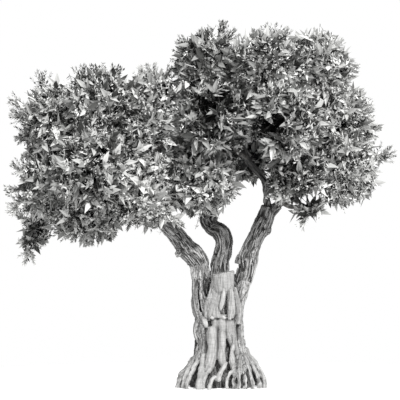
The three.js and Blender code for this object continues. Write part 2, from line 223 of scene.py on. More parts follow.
def triangles(piece):
    return sum(len(face.vertices) - 2 for face in piece.data.polygons)


# %% [markdown]
# The camera stands far off and level with the middle of the crown, as for a plant photographed whole
# against white. A long lens keeps the crown's front and back at nearly one scale.

# %% Camera
FAR_OFF = 22.0
ASIDE = -0.211
EYE_HEIGHT = 1.793
WIDTH_AT_TRUNK = 3.836
SENSOR = 36.0
CLIP_END = 200.0
camera_data = bpy.data.cameras.new("camera")
camera = placed("camera", camera_data)
camera.location = (ASIDE, -FAR_OFF, EYE_HEIGHT)
camera.rotation_euler = (math.radians(90), 0, 0)
camera_data.sensor_width = SENSOR
camera_data.lens = SENSOR * FAR_OFF / WIDTH_AT_TRUNK
camera_data.clip_end = CLIP_END
bpy.context.scene.camera = camera
print("lens:", round(camera_data.lens, 1), "mm")

# %% [markdown]
# The studio is white all round, which gives the soft even light, and one broad lamp high on the right and
# in front gives the leaves their bright and dark sides. The floor is a plain pale sheet. The picture's
# tones are kept as they are by the Standard view.

# %% Light and floor
WORLD_STRENGTH = 1.0
SUN_STRENGTH = 5.6
SUN_SPREAD = math.radians(7)
SUN_WAY = (0.36, -0.84, 0.82)
FLOOR_REACH = 3.4
FLOOR_LEVEL = -0.002
FLOOR_SIDES = 64
WHITE = (1, 1, 1, 1)

world = bpy.data.worlds.new("studio")
world.use_nodes = True
world.node_tree.nodes["Background"].inputs["Color"].default_value = WHITE
world.node_tree.nodes["Background"].inputs["Strength"].default_value = WORLD_STRENGTH
bpy.context.scene.world = world
bpy.context.scene.view_settings.view_transform = "Standard"

sun_data = bpy.data.lights.new("broad_lamp", "SUN")
sun_data.energy = SUN_STRENGTH
sun_data.angle = SUN_SPREAD
sun = placed("broad_lamp", sun_data)
sun.rotation_euler = Vector(SUN_WAY).to_track_quat("Z", "Y").to_euler()

floor_edge = [
    (FLOOR_REACH * math.cos(turn), FLOOR_REACH * math.sin(turn), FLOOR_LEVEL)
    for turn in np.linspace(0, 2 * math.pi, FLOOR_SIDES, endpoint=False)
]
floor_mesh = bpy.data.meshes.new("floor")
floor_mesh.from_pydata(floor_edge, [], [list(range(FLOOR_SIDES))])
floor = placed("floor", floor_mesh)
floor_look = {"Base_Color": (0.80, 0.80, 0.80, 1), "Roughness": 0.9}
floor_glow = {"Emission_Color": WHITE, "Emission_Strength": 0.45}
floor_mesh.materials.append(new_paint("pale_floor", **floor_look, **floor_glow)[0])
print("lamp:", SUN_STRENGTH, "studio:", WORLD_STRENGTH)

# %% [markdown]
# Wood first, as lines. Every strand of trunk, root, bough and twig is a line of points with a thickness
# at each, and one smooth curve runs through the points. A line also needs a pair of directions across it,
# carried along without twisting, so that ridges can be laid on it and the grain can be measured.

# %% Lines of wood
LINE_STEP = 0.02
START_ACROSS = (0.31, 0.87, 0.38)


def line_through(rows, steps=None):
    """Points on a smooth curve through the given rows of x, y, z and radius, in metres."""
    control = metres(rows)
    length = np.linalg.norm(np.diff(control[:, :3], axis=0), axis=1).sum()
    steps = steps or max(4, int(length / LINE_STEP))
    padded = np.vstack([2 * control[0] - control[1], control, 2 * control[-1] - control[-2]])
    place = np.linspace(0, len(control) - 1, steps)
    span = np.minimum(place.astype(int), len(control) - 2)
    t = (place - span)[:, None]
    a, b, c, d = (padded[span + i] for i in range(4))
    bend = (2 * a - 5 * b + 4 * c - d) * t**2 + (3 * b - a - 3 * c + d) * t**3
    return 0.5 * (2 * b + (c - a) * t + bend)


def across_line(centres):
    """Two directions across the line at each point."""
    tangents = unit(np.gradient(centres, axis=0))
    side = np.cross(tangents[0], START_ACROSS)
    sides = []
    for tangent in tangents:
        side = unit(side - tangent * (side @ tangent))
        sides.append(side)
    sides = np.array(sides)
    return sides, np.cross(tangents, sides)


def distance_along(line):
    return np.concatenate([[0], np.cumsum(np.linalg.norm(np.diff(line[:, :3], axis=0), axis=1))])


def lines_object(name, lines):
    """A mesh of loose edges, one run of them for each line, with the thickness as an attribute."""
    counts = [len(line) for line in lines]
    starts = np.cumsum([0] + counts[:-1])
    edges = [np.column_stack([np.arange(n - 1), np.arange(1, n)]) + s for s, n in zip(starts, counts)]
    edges = np.vstack(edges)
    every = np.vstack(lines)
    mesh = mesh_of_points(name, every[:, :3])
    mesh.edges.add(len(edges))
    mesh.edges.foreach_set("vertices", edges.astype(np.int32).ravel())
    write(mesh, "thickness", "FLOAT", every[:, 3])
    return placed(name, mesh)


# %% [markdown]
# Geometry Nodes give each line its round body: the edges become curves, the attribute sets their radius,
# and a small circle runs along them. The same tree makes a root as thick as an arm and a twig as thin as
# a wire. A tree's inputs are set on the modifier before it is first worked out, and the result is kept as
# a plain mesh.

# %% A tree that turns lines into stems
def new_tree(name, sockets):
    """An empty Geometry Nodes tree with a geometry in and out and the named inputs."""
    tree = bpy.data.node_groups.new(name, "GeometryNodeTree")
    tree.interface.new_socket("Geometry", in_out="INPUT", socket_type="NodeSocketGeometry")
    for socket, kind in sockets.items():
        tree.interface.new_socket(socket, in_out="INPUT", socket_type="NodeSocket" + kind)
    tree.interface.new_socket("Geometry", in_out="OUTPUT", socket_type="NodeSocketGeometry")
    maker = NodeMaker(tree)
    return tree, maker, maker.add("NodeGroupInput")


def end_tree(maker, geometry):
    """Hands the finished geometry out of the tree."""
    maker.add("NodeGroupOutput", None, {"Geometry": geometry})


def real(maker, geometry, material=None):
    """Instances made real, and given a material if there is one for all."""
    whole = maker.add("GeometryNodeRealizeInstances", None, {"Geometry": geometry})["Geometry"]
    if material is None:
        return whole
    return maker.add("GeometryNodeSetMaterial", None, {"Geometry": whole, "Material": material})["Geometry"]


def named(maker, name, kind):
    """A named attribute, read in Geometry Nodes."""
    return maker.add("GeometryNodeInputNamedAttribute", {"data_type": kind}, {"Name": name})["Attribute"]


def run_tree(piece, tree, **inputs):
    """Works the tree out on the piece and keeps the result as the piece's plain mesh."""
    modifier = piece.modifiers.new(tree.name, "NODES")
    modifier.node_group = tree
    for item in tree.interface.items_tree:
        if item.item_type == "SOCKET" and item.in_out == "INPUT" and item.name in inputs:
            modifier[item.identifier] = inputs[item.name]
    return keep_result(piece, modifier)


def keep_result(piece, modifier):
    graph = bpy.context.evaluated_depsgraph_get()
    mesh = bpy.data.meshes.new_from_object(piece.evaluated_get(graph), depsgraph=graph)
    piece.modifiers.remove(modifier)
    before = piece.data
    piece.data = mesh
    bpy.data.meshes.remove(before)
    mesh.name = piece.name
    return piece


stem_tree, maker, given = new_tree("stems", {"Sides": "Int", "Material": "Material"})
curves = maker.add("GeometryNodeMeshToCurve", None, {"Mesh": given["Geometry"]})["Curve"]
ring = maker.add("GeometryNodeCurvePrimitiveCircle", None, {"Resolution": given["Sides"], "Radius": 1.0})
stem_values = {
    "Curve": curves, "Profile Curve": ring["Curve"], "Fill Caps": True,
    "Scale": named(maker, "thickness", "FLOAT"),
}
stems = maker.add("GeometryNodeCurveToMesh", None, stem_values)["Mesh"]
end_tree(maker, real(maker, stems, given["Material"]))
print("nodes in the tree of stems:", len(stem_tree.nodes))

# %% [markdown]
# Old olive wood isn't a smooth pipe. It grows as strands side by side, with deep furrows between them.
# So a bough is a thinner core with a ring of ridges laid on it, each swelling and wandering a little as
# it goes. Where the ridges touch, the union of the tubes leaves the furrows by itself.

# %% Ridges on a bough
CORE = 0.78
RIDGES_SIT_AT = 0.72
RIDGE_THICKNESS = 0.28
TWIST = 0.9
WANDER = 0.22
WANDER_WAVES = (9, 14)
LONG_SWELL = 0.16
LONG_WAVES = (12, 20)
SHORT_SWELL = 0.09
SHORT_WAVES = (38, 55)


def ridged(line, ridges, name):
    """A core line and the lines of the ridges around it."""
    random = chance(name)
    centres = line[:, :3]
    radii = line[:, 3]
    sides, ups = across_line(centres)
    run = distance_along(line)
    lines = [np.column_stack([centres, radii * CORE])]
    for i in range(ridges):
        phase = random.uniform(0, 2 * math.pi, 4)
        angle = 2 * math.pi * i / ridges + random.uniform(-WANDER, WANDER) + TWIST * run
        angle = angle + WANDER * np.sin(run * random.uniform(*WANDER_WAVES) + phase[0])
        way = np.cos(angle)[:, None] * sides + np.sin(angle)[:, None] * ups
        out = way * (radii * RIDGES_SIT_AT)[:, None]
        swell = 1 + LONG_SWELL * np.sin(run * random.uniform(*LONG_WAVES) + phase[1])
        swell = swell + SHORT_SWELL * np.sin(run * random.uniform(*SHORT_WAVES) + phase[2])
        lines.append(np.column_stack([centres + out, radii * RIDGE_THICKNESS * swell]))
    return lines


# %% [markdown]
# The trunk's strands, read off the tree: columns of bark on the left, the smooth sawn-off stub and the
# plates in front of it, a brow of old wood below, pale columns that run down into the roots, columns of
# bark on the right, and the wood deep inside that the hollows open on, most of it painted dark as shade.
# Each has the number of its ridges, how bare its wood is, and the points of its line as x, y, z and radius.
# A bareness below 0 paints shade: the wood turns dark, as on the shaded floor of a hollow.

# %% The trunk's strands
STRANDS = {
    "left_outer": {"ridges": 5, "bare": 0.4, "line": [
        [-258, -34, 1235, 26], [-262, -44, 1170, 38], [-260, -58, 1100, 44], [-256, -62, 1010, 33],
        [-258, -66, 930, 36], [-258, -70, 830, 44], [-250, -74, 766, 45], [-240, -76, 719, 44],
        [-220, -80, 661, 40], [-232, -80, 585, 44], [-236, -80, 518, 45], [-210, -82, 455, 42],
        [-196, -84, 422, 38], [-222, -88, 355, 44], [-216, -96, 278, 50],
    ]},
    "left_inner": {"bare": 0.5, "line": [
        [-170, -40, 1220, 22], [-180, -62, 1150, 19], [-184, -74, 1080, 14], [-186, -78, 1010, 8],
    ]},
    "left_middle": {"line": [
        [-216, -50, 1200, 22], [-212, -84, 1100, 20], [-206, -98, 1020, 21], [-200, -108, 940, 24],
        [-186, -118, 850, 29], [-170, -128, 770, 32], [-148, -136, 700, 28], [-128, -138, 640, 20],
    ]},
    "left_lower": {"ridges": 3, "bare": 0.35, "line": [
        [-202, -106, 720, 28], [-186, -118, 640, 38], [-182, -126, 560, 38], [-178, -128, 470, 40],
        [-180, -132, 390, 42], [-188, -142, 290, 48],
    ]},
    "panel_edge": {"bare": 0.3, "line": [
        [-122, -76, 700, 36], [-124, -84, 600, 36], [-128, -92, 480, 36], [-136, -100, 360, 36],
        [-140, -110, 240, 40],
    ]},
    "left_deep": {"ridges": 7, "bare": -0.7, "line": [
        [-205, 40, 1190, 92], [-205, 45, 1000, 84], [-200, 30, 780, 84], [-180, 10, 500, 90],
        [-190, 0, 250, 90],
    ]},
    "stub": {"bare": 1.0, "line": [
        [-4, -20, 540, 56], [2, -26, 700, 60], [6, -32, 800, 68], [8, -58, 900, 96], [8, -74, 980, 108],
        [8, -76, 1180, 108],
    ]},
    "fan_left": {"bare": 0.5, "line": [
        [-84, -100, 1030, 16], [-100, -120, 930, 28], [-122, -136, 830, 36], [-144, -146, 750, 36],
        [-150, -144, 680, 26],
    ]},
    "fan_middle": {"bare": 0.9, "line": [
        [-66, -118, 1000, 12], [-76, -134, 900, 21], [-92, -148, 810, 27], [-106, -154, 740, 28],
        [-112, -150, 674, 22],
    ]},
    "fan_right": {"bare": 0.9, "line": [
        [-42, -130, 990, 10], [-50, -144, 890, 17], [-60, -154, 810, 23], [-70, -160, 740, 25],
        [-74, -156, 672, 22],
    ]},
    "tongue_root": {"bare": 1.0, "line": [
        [-10, -130, 980, 10], [-22, -146, 890, 16], [-32, -156, 810, 21], [-40, -162, 740, 24],
        [-36, -160, 672, 24],
    ]},
    "tongue": {"bare": 1.0, "line": [
        [20, -160, 970, 5], [14, -188, 905, 20], [4, -202, 835, 24], [-8, -202, 785, 19],
        [-16, -188, 744, 8],
    ]},
    "wedge_floor": {"bare": 0.3, "line": [
        [40, -50, 920, 40], [36, -50, 800, 44], [30, -56, 720, 48], [24, -66, 620, 50],
    ]},
    "right_plate": {"bare": 0.75, "line": [
        [80, -128, 985, 18], [82, -144, 900, 32], [86, -154, 800, 39], [86, -160, 720, 40],
        [80, -158, 668, 30],
    ]},
    "right_point": {"bare": 0.6, "line": [
        [122, -80, 960, 12], [136, -102, 870, 26], [150, -114, 780, 34], [158, -124, 700, 36],
        [152, -122, 610, 30],
    ]},
    "brow_left": {"bare": 1.0, "line": [[-112, -164, 676, 12], [-94, -176, 672, 18], [-76, -168, 666, 12]]},
    "brow_middle": {"bare": 1.0, "line": [[-2, -168, 684, 12], [16, -178, 674, 19], [32, -170, 660, 12]]},
    "brow_right": {"bare": 1.0, "line": [[54, -166, 676, 8], [68, -176, 666, 13], [82, -168, 656, 8]]},
    "brow_knob": {"bare": 0.9, "line": [
        [-182, -140, 668, 16], [-168, -158, 640, 24], [-156, -162, 612, 22], [-150, -152, 580, 14],
    ]},
    "panel_left": {"bare": 1.0, "line": [
        [-60, -110, 700, 44], [-60, -112, 620, 48], [-60, -102, 560, 48], [-60, -84, 480, 40],
    ]},
    "panel_middle": {"bare": 1.0, "line": [
        [-2, -122, 700, 46], [0, -126, 620, 52], [4, -114, 560, 48], [4, -84, 480, 40],
    ]},
    "panel_right": {"bare": 0.9, "line": [
        [60, -112, 700, 44], [62, -114, 620, 50], [66, -106, 550, 48], [84, -100, 460, 38],
        [104, -96, 390, 30],
    ]},
    "right_lip": {"bare": 0.6, "line": [
        [104, -112, 700, 24], [108, -120, 610, 25], [108, -122, 540, 27], [116, -120, 450, 30],
        [134, -118, 370, 32], [152, -122, 290, 36],
    ]},
    "left_column": {"bare": 1.0, "line": [
        [-96, -124, 575, 36], [-98, -142, 540, 48], [-98, -156, 460, 49], [-94, -162, 390, 45],
        [-102, -176, 310, 50], [-120, -202, 230, 50], [-146, -222, 160, 40],
    ]},
    "middle_column": {"bare": 1.0, "line": [
        [4, -110, 640, 32], [0, -130, 540, 36], [0, -142, 440, 36], [-4, -152, 370, 35],
        [-6, -168, 300, 42], [6, -174, 240, 35], [22, -164, 180, 24],
    ]},
    "cleft_floor": {"bare": -0.25, "line": [
        [-44, -70, 560, 44], [-44, -74, 420, 44], [-44, -84, 280, 48], [-30, -84, 150, 56],
    ]},
    "right_cleft_floor": {"bare": -0.6, "line": [
        [52, -26, 560, 44], [56, -30, 420, 46], [60, -44, 300, 50], [56, -70, 160, 58],
    ]},
    "lower_lobe": {"bare": 0.95, "line": [
        [116, -112, 450, 18], [102, -136, 390, 26], [92, -144, 340, 18], [96, -162, 280, 32],
        [102, -176, 220, 31], [108, -182, 160, 22],
    ]},
    "right_outer": {"ridges": 6, "bare": 0.42, "line": [
        [215, -10, 1010, 70], [190, -35, 900, 62], [162, -50, 800, 52], [150, -62, 700, 46],
        [160, -68, 600, 52], [162, -72, 500, 50], [174, -80, 400, 50], [196, -88, 300, 54],
    ]},
    "right_deep": {"ridges": 8, "bare": 0.1, "line": [
        [180, 30, 1000, 88], [140, 35, 820, 88], [118, 30, 650, 86], [110, 20, 480, 90],
        [120, 10, 280, 92],
    ]},
    "right_crotch": {"bare": -0.9, "line": [[120, 20, 900, 52], [128, 20, 1010, 44], [136, 16, 1084, 26]]},
    "back_left": {"ridges": 8, "bare": 0.1, "line": [
        [-90, 80, 1000, 80], [-112, 104, 800, 90], [-120, 114, 600, 94], [-130, 120, 400, 96],
        [-140, 125, 230, 96],
    ]},
    "back_right": {"ridges": 8, "bare": 0.1, "line": [
        [10, 96, 1020, 80], [26, 120, 800, 88], [28, 128, 600, 94], [30, 132, 400, 98],
        [44, 150, 230, 100],
    ]},
    "heart": {"bare": -0.45, "line": [
        [-10, 20, 900, 90], [-15, 20, 600, 106], [-8, 20, 300, 120], [0, 20, 150, 135],
        [0, 20, -10, 140],
    ]},
    "heart_left": {"bare": -0.45, "line": [
        [-60, 20, 380, 104], [-78, 16, 260, 132], [-100, 10, 150, 160], [-122, 10, 60, 178],
        [-126, 10, -10, 182],
    ]},
    "heart_right": {"bare": -0.45, "line": [
        [60, 20, 380, 104], [78, 16, 260, 132], [104, 10, 150, 160], [126, 10, 60, 178],
        [130, 10, -10, 182],
    ]},
}
print("strands in the trunk:", len(STRANDS))

# %% [markdown]
# The roots leave the trunk's foot as knobby ropes, side by side, and go down into the ground. Those at
# the front are placed one by one: a fan of three on the left, a broad pale one and a thin one beside it,
# two that make a hook round a knob, then a hollow, and seven thin ones on the right. Those behind follow a
# rule, spread by angle with uneven widths. All that reach the ground go a little below it, where they are
# cut off flat.

# %% The roots
ROOTS = [
    {"bare": 0.5, "line": [
        [-222, -30, 400, 36], [-228, -40, 310, 37], [-274, -50, 248, 34], [-326, -56, 184, 33],
        [-390, -60, 116, 34], [-412, -60, 36, 32], [-412, -60, -24, 33],
    ]},
    {"bare": 0.55, "line": [
        [-222, -80, 370, 32], [-244, -98, 290, 32], [-296, -124, 214, 28], [-340, -142, 140, 26],
        [-364, -150, 66, 24], [-372, -152, -24, 26],
    ]},
    {"bare": 0.5, "line": [
        [-208, -120, 350, 30], [-236, -152, 262, 27], [-276, -196, 186, 24], [-312, -222, 110, 22],
        [-334, -234, 40, 21], [-336, -236, -24, 22],
    ]},
    {"bare": 0.9, "line": [
        [-176, -156, 320, 34], [-188, -204, 224, 34], [-204, -256, 130, 35], [-218, -284, 46, 37],
        [-220, -286, -24, 38],
    ]},
    {"bare": 0.8, "line": [
        [-132, -196, 210, 36], [-150, -240, 150, 26], [-176, -276, 84, 22], [-188, -290, -24, 22],
    ]},
    {"bare": 0.8, "line": [
        [30, -170, 250, 26], [4, -214, 190, 26], [-26, -252, 140, 27], [-44, -276, 102, 38],
        [-54, -284, 78, 23],
    ]},
    {"bare": 0.7, "line": [
        [-40, -278, 116, 22], [-72, -298, 118, 19], [-102, -310, 88, 19], [-116, -318, 36, 21],
        [-118, -318, -24, 22],
    ]},
    {"bare": 0.6, "line": [
        [126, -166, 250, 24], [102, -214, 180, 19], [68, -252, 138, 18], [48, -268, 80, 18],
        [45, -272, -24, 19],
    ]},
    {"bare": 0.3, "line": [
        [150, -140, 300, 26], [134, -206, 190, 19], [116, -252, 110, 18], [108, -268, 44, 18],
        [106, -270, -24, 19],
    ]},
    {"bare": 0.5, "line": [
        [168, -140, 300, 26], [170, -214, 196, 19], [162, -262, 110, 19], [158, -282, 34, 19],
        [158, -284, -24, 20],
    ]},
    {"bare": 0.3, "line": [
        [190, -126, 310, 27], [206, -194, 206, 21], [216, -246, 108, 19], [220, -262, 34, 21],
        [220, -264, -24, 22],
    ]},
    {"bare": 0.5, "line": [
        [206, -104, 330, 27], [242, -164, 220, 22], [274, -212, 120, 21], [288, -228, 34, 22],
        [288, -230, -24, 23],
    ]},
    {"bare": 0.55, "line": [
        [216, -76, 350, 29], [272, -120, 242, 25], [330, -154, 134, 23], [354, -168, 44, 23],
        [355, -170, -24, 24],
    ]},
    {"bare": 0.6, "line": [
        [214, -40, 380, 31], [246, -56, 316, 31], [314, -76, 236, 28], [376, -92, 142, 27],
        [406, -98, 50, 27], [408, -98, -24, 28],
    ]},
]
BACK_ROOTS = 15
BACK_ROOT_HEIGHTS = (335, 250, 150, 66, -24)
BACK_ROOT_SHARES = (0.46, 0.535, 0.70, 0.88, 0.98, 1.0)
BACK_ROOT_SWELLS = (1.3, 1.2, 1.08, 1.0, 0.96, 0.92)
BACK_FLATNESS = 0.88


def back_roots():
    """Roots round the sides and the back, from the right round to the left."""
    random = chance("roots behind")
    found = []
    for i in range(BACK_ROOTS):
        turn = math.radians(1 + 182 * i / (BACK_ROOTS - 1) + random.uniform(-3, 3))
        way = np.array([math.cos(turn), BACK_FLATNESS * math.sin(turn), 0])
        reach = random.uniform(385, 408)
        heights = (430 + random.uniform(-20, 30), *BACK_ROOT_HEIGHTS)
        thick = random.uniform(22, 31)
        line = [
            [*(way * reach * share + (0, 0, height)), thick * swell]
            for share, height, swell in zip(BACK_ROOT_SHARES, heights, BACK_ROOT_SWELLS)
        ]
        found.append({"line": line, "bare": random.uniform(0, 0.4)})
    return found


ROOTS = ROOTS + back_roots()
print("roots:", len(ROOTS))

# %% [markdown]
# The boughs repeat the source's own points and radii, so the pieces lie exactly over the solids. Three
# rise from the trunk: the left one leans out, the middle one bends like an S and has a little painted
# shade, and the right one rises steeply and forks into an upright and a long side bough. Burls are short
# thick lines on them, and the last one is wood in the crotch beside the stub, painted dark as shade.

# %% The boughs
BOUGHS = {
    "bough_left": {"ridges": 11, "line": [
        [-190, 56, 900, 56], [-192, 50, 1010, 66], [-202, 30, 1100, 88], [-240, -6, 1228, 104],
        [-333, -20, 1324, 102], [-432, -40, 1452, 88], [-550, -60, 1565, 72], [-660, -80, 1690, 60],
        [-790, -80, 1860, 48],
    ]},
    # The middle bough's bareness below 0 paints a little shade on it.
    "bough_centre": {"ridges": 11, "bare": -0.28, "line": [
        [-20, 80, 880, 96], [-20, 90, 1150, 94], [10, 100, 1300, 90], [16, 105, 1405, 92],
        [-24, 115, 1495, 86], [-102, 125, 1532, 78], [-154, 130, 1595, 66], [-142, 140, 1700, 54],
        [-152, 150, 1840, 44], [-165, 150, 1960, 36],
    ]},
    "bough_right": {"ridges": 11, "line": [
        [124, 30, 800, 80], [184, 28, 950, 82], [238, 12, 1110, 90], [254, 0, 1258, 97],
        [307, 0, 1393, 82], [369, 0, 1518, 94], [424, 0, 1643, 82], [452, 0, 1725, 74],
    ]},
    "bough_right_upright": {"ridges": 5, "line": [
        [435, 0, 1690, 44], [425, 0, 1850, 42], [418, 15, 1950, 42], [365, 35, 2040, 40],
        [295, 50, 2120, 38], [225, 60, 2230, 34], [190, 65, 2400, 28], [200, 60, 2580, 22],
    ]},
    "bough_right_fork": {"ridges": 5, "line": [
        [465, 0, 1700, 44], [560, -20, 1768, 42], [700, -45, 1830, 38], [820, -50, 1950, 34],
        [930, -40, 2130, 28], [1020, -30, 2310, 22],
    ]},
    "bough_left_outer": {"ridges": 5, "line": [
        [-765, -80, 1830, 44], [-900, -50, 1915, 42], [-1080, -20, 1985, 38], [-1280, 0, 2030, 32],
        [-1450, 0, 2090, 24],
    ]},
}
BURLS = [
    {"line": [[-352, -40, 1320, 50], [-408, -50, 1284, 44], [-448, -50, 1262, 26]]},
    {"line": [[400, -10, 1500, 50], [446, -16, 1502, 44], [474, -16, 1500, 26]]},
    {"line": [[40, 90, 1310, 30], [70, 90, 1380, 42], [50, 96, 1440, 30]]},
    {"line": [[150, 0, 1180, 30], [160, 0, 1225, 36], [176, 0, 1270, 24]]},
    {"line": [[-104, 120, 1560, 46], [-66, 118, 1660, 40], [-46, 114, 1770, 30]]},
    {"line": [[456, 0, 1660, 60], [506, -6, 1712, 54], [548, -12, 1746, 40]]},
    {"bare": -0.9, "line": [
        [146, -20, 880, 34], [150, -30, 960, 35], [153, -34, 1040, 36], [172, -24, 1140, 30],
    ]},
]

# %% [markdown]
# All the tubes of the trunk are joined and remeshed in small cubes. The remesh throws away everything
# inside and leaves one closed skin, with a crease wherever two strands meet. Before that the stub is sawn
# off on the slant, by lowering every point above the cut to it, and the roots get their knobs: each
# swells and turns aside a little along its way, less so where its wood is bare.

# %% One skin from many tubes
TRUNK_CUBES = 0.0079
BOUGH_CUBES = 0.0066
STUB_HEIGHT = 1.100
STUB_SLOPE = 0.19
STUB_SIDES = 40
STUB_STEPS = 60
TUBE_SIDES = 14
KNOBS = 0.13
KNOB_TURNS = 0.0035
KNOB_WAVES = (0.055, 0.08, 0.13)

wood_paint, wood_maker, wood_inputs = new_paint("grey_bark", Specular_IOR_Level=0.15)


def one_skin(name, lines, cubes, extra=None):
    """The closed skin of all the lines' tubes, and of one more mesh if it is given."""
    piece = run_tree(lines_object(name, lines), stem_tree, Sides=TUBE_SIDES, Material=wood_paint)
    if extra is not None:
        both = bmesh.new()
        both.from_mesh(piece.data)
        both.from_mesh(extra)
        both.to_mesh(piece.data)
        both.free()
    remesh = piece.modifiers.new("remesh", "REMESH")
    remesh.mode = "VOXEL"
    remesh.voxel_size = cubes
    remesh.use_smooth_shade = True
    return keep_result(piece, remesh)


def cut_height(places):
    """How high the slanted cut of the stub stands at each place."""
    return STUB_HEIGHT + STUB_SLOPE * places[:, 0]


def body_lines(strand, name):
    line = line_through(strand["line"])
    return ridged(line, strand["ridges"], name) if "ridges" in strand else [line]


def gnarled(line, bare, number):
    """A root's line with knobs on it: the barer the root, the smoother."""
    random = chance(f"knobs {number}")
    run = distance_along(line)
    swell = np.zeros(len(line))
    aside = np.zeros((len(line), 3))
    for wave in KNOB_WAVES:
        swell += np.sin(2 * math.pi * (run / wave + random.random()))
        turns = 2 * math.pi * (run[:, None] / (1.3 * wave) + random.random(3))
        aside += np.sin(turns) * (1, 1, 0)
    strength = 1 - 0.8 * bare
    knobby = line.copy()
    knobby[:, 3] *= 1 + KNOBS * strength * swell
    knobby[:, :3] += KNOB_TURNS * strength * aside
    return knobby


stub_line = line_through(STRANDS["stub"]["line"], STUB_STEPS)
stub_piece = run_tree(lines_object("stub", [stub_line]), stem_tree, Sides=STUB_SIDES, Material=wood_paint)
places = places_of(stub_piece.data)
places[:, 2] = np.minimum(places[:, 2], cut_height(places))
set_places(stub_piece.data, places)

trunk_lines = []
for name, strand in STRANDS.items():
    if name != "stub":
        trunk_lines += body_lines(strand, name)
for number, root in enumerate(ROOTS):
    trunk_lines.append(gnarled(line_through(root["line"]), root.get("bare", 0.0), number))
bough_lines = []
for name, bough in BOUGHS.items():
    bough_lines += body_lines(bough, name)
for burl in BURLS:
    bough_lines.append(line_through(burl["line"]))
print("tubes in the trunk:", len(trunk_lines), "and in the boughs:", len(bough_lines))

# %% [markdown]
# Bark has a grain that follows the wood. For each point of the skin the nearest strand is found, and the
# point's place is written down as seen from that strand: so far to one side, so far to the other and so
# far along. A pattern on these numbers runs along every root and bough, however it bends. How bare the
# wood is comes from the same strand.

# %% Where each point lies on the grain
AT_ONCE = 20000


def grain_table(strands):
    """Samples of every strand: place, radius, two ways across, distance along, bareness and number."""
    rows = []
    for number, strand in enumerate(strands):
        line = line_through(strand["line"])
        sides, ups = across_line(line[:, :3])
        bare = np.full(len(line), strand.get("bare", 0.0))
        numbers = np.full(len(line), number)
        rows.append(np.column_stack([line, sides, ups, distance_along(line), bare, numbers]))
    return np.vstack(rows)


def write_grain(mesh, strands):
    table = grain_table(strands)
    places = places_of(mesh)
    found = []
    for start in range(0, len(places), AT_ONCE):
        part = places[start:start + AT_ONCE]
        distance = (part**2).sum(1)[:, None] + (table[:, :3]**2).sum(1)[None] - 2 * part @ table[:, :3].T
        depth = np.sqrt(np.maximum(distance, 0)) - table[:, 3]
        row = table[depth.argmin(1)]
        offset = part - row[:, :3]
        side = row[:, 4:7]
        up = row[:, 7:10]
        along = row[:, 10] + (offset * np.cross(side, up)).sum(1)
        found.append(np.column_stack([(offset * side).sum(1), (offset * up).sum(1), along, row[:, 11:]]))
    found = np.vstack(found)
    write(mesh, "grain", "FLOAT_VECTOR", found[:, :3])
    write(mesh, "bare", "FLOAT", found[:, 3])
    write(mesh, "strand", "FLOAT", found[:, 4])
    print(mesh.name, "has", len(places), "points on", len(strands), "strands")


# %% [markdown]
# Old bark is worn pale where it stands out, and its furrows get painted shade. So each point of the
# finished skin is compared with a smoothed copy of the skin, and the distance between them, in millimetres,
# sets its wear and its painted shade.

# %% How far each point stands out
SMOOTHINGS = 24


def write_wear_and_shade(mesh):
    """Writes how far each point stands out of its surroundings: below 0 in furrows, above 0 on ridges."""
    places = places_of(mesh)
    count = len(places)
    ends = np.empty(len(mesh.edges) * 2, np.int32)
    mesh.edges.foreach_get("vertices", ends)
    first, second = ends.reshape(-1, 2).T
    neighbours = np.bincount(ends, minlength=count)
    smooth = places.copy()
    for _ in range(SMOOTHINGS):
        for axis in range(3):
            values = smooth[:, axis]
            total = np.bincount(first, values[second], count) + np.bincount(second, values[first], count)
            smooth[:, axis] = total / neighbours
    normals = np.empty(count * 3, np.float32)
    mesh.vertex_normals.foreach_get("vector", normals)
    wear = ((places - smooth) * normals.reshape(-1, 3)).sum(1) / MM
    spread = np.percentile(wear, [2, 15, 50, 85, 98]).round(1)
    print(mesh.name, "stands out by (mm), from the deepest:", spread)
    write(mesh, "wear", "FLOAT", wear)


# %% [markdown]
# The bark's own relief is a second Geometry Nodes tree. Noise that is stretched along the grain is folded
# at its middle value, which leaves narrow wandering valleys: the fissures. A finer one of the same kind
# adds small cracks, and a coarse and a fine noise add lumps and crumbs. Bare wood gets only a little of
# each. The tree pushes the skin in and out by that height.

# %% A tree that raises the bark
BARK_SEED = 1.0
STRAND_SHIFT = 3.7
# Each noise: features to a metre across, across and along the grain, then detail and a shift of its own.
FISSURES = ((26, 26, 3.0), 2.0, 0.0)
CRACKS = ((56, 56, 6.5), 2.0, 11.0)
CRUMBS = ((120, 120, 75), 2.0, 23.0)
LUMPS = ((11, 11, 8), 1.0, 37.0)
PITS = ((62, 62, 50), 2.0, 51.0)
FISSURE_WIDTH = 0.075
CRACK_WIDTH = 0.10
BARE_SMOOTHS = 0.86
BARE_CLOSES_CRACKS = 0.6


class Grain:
    """The grain, as one node tree reads it."""

    def __init__(self, maker, grain, strand, seed):
        self.maker = maker
        self.grain = grain
        self.strand = strand
        self.seed = seed

    def noise(self, stretch, detail, shift):
        """Noise that differs from strand to strand."""
        own = self.strand * STRAND_SHIFT + self.seed + shift
        values = {"Vector": self.maker.scaled(self.grain, stretch), "W": own, "Scale": 1.0, "Detail": detail}
        return self.maker.add("ShaderNodeTexNoise", {"noise_dimensions": "4D"}, values)["Fac"]

    def valleys(self, noise, width):
        """0 at the bottom of narrow valleys along the noise's middle value, 1 away from them."""
        return abs(self.noise(*noise) - 0.5).step(0.0, width)


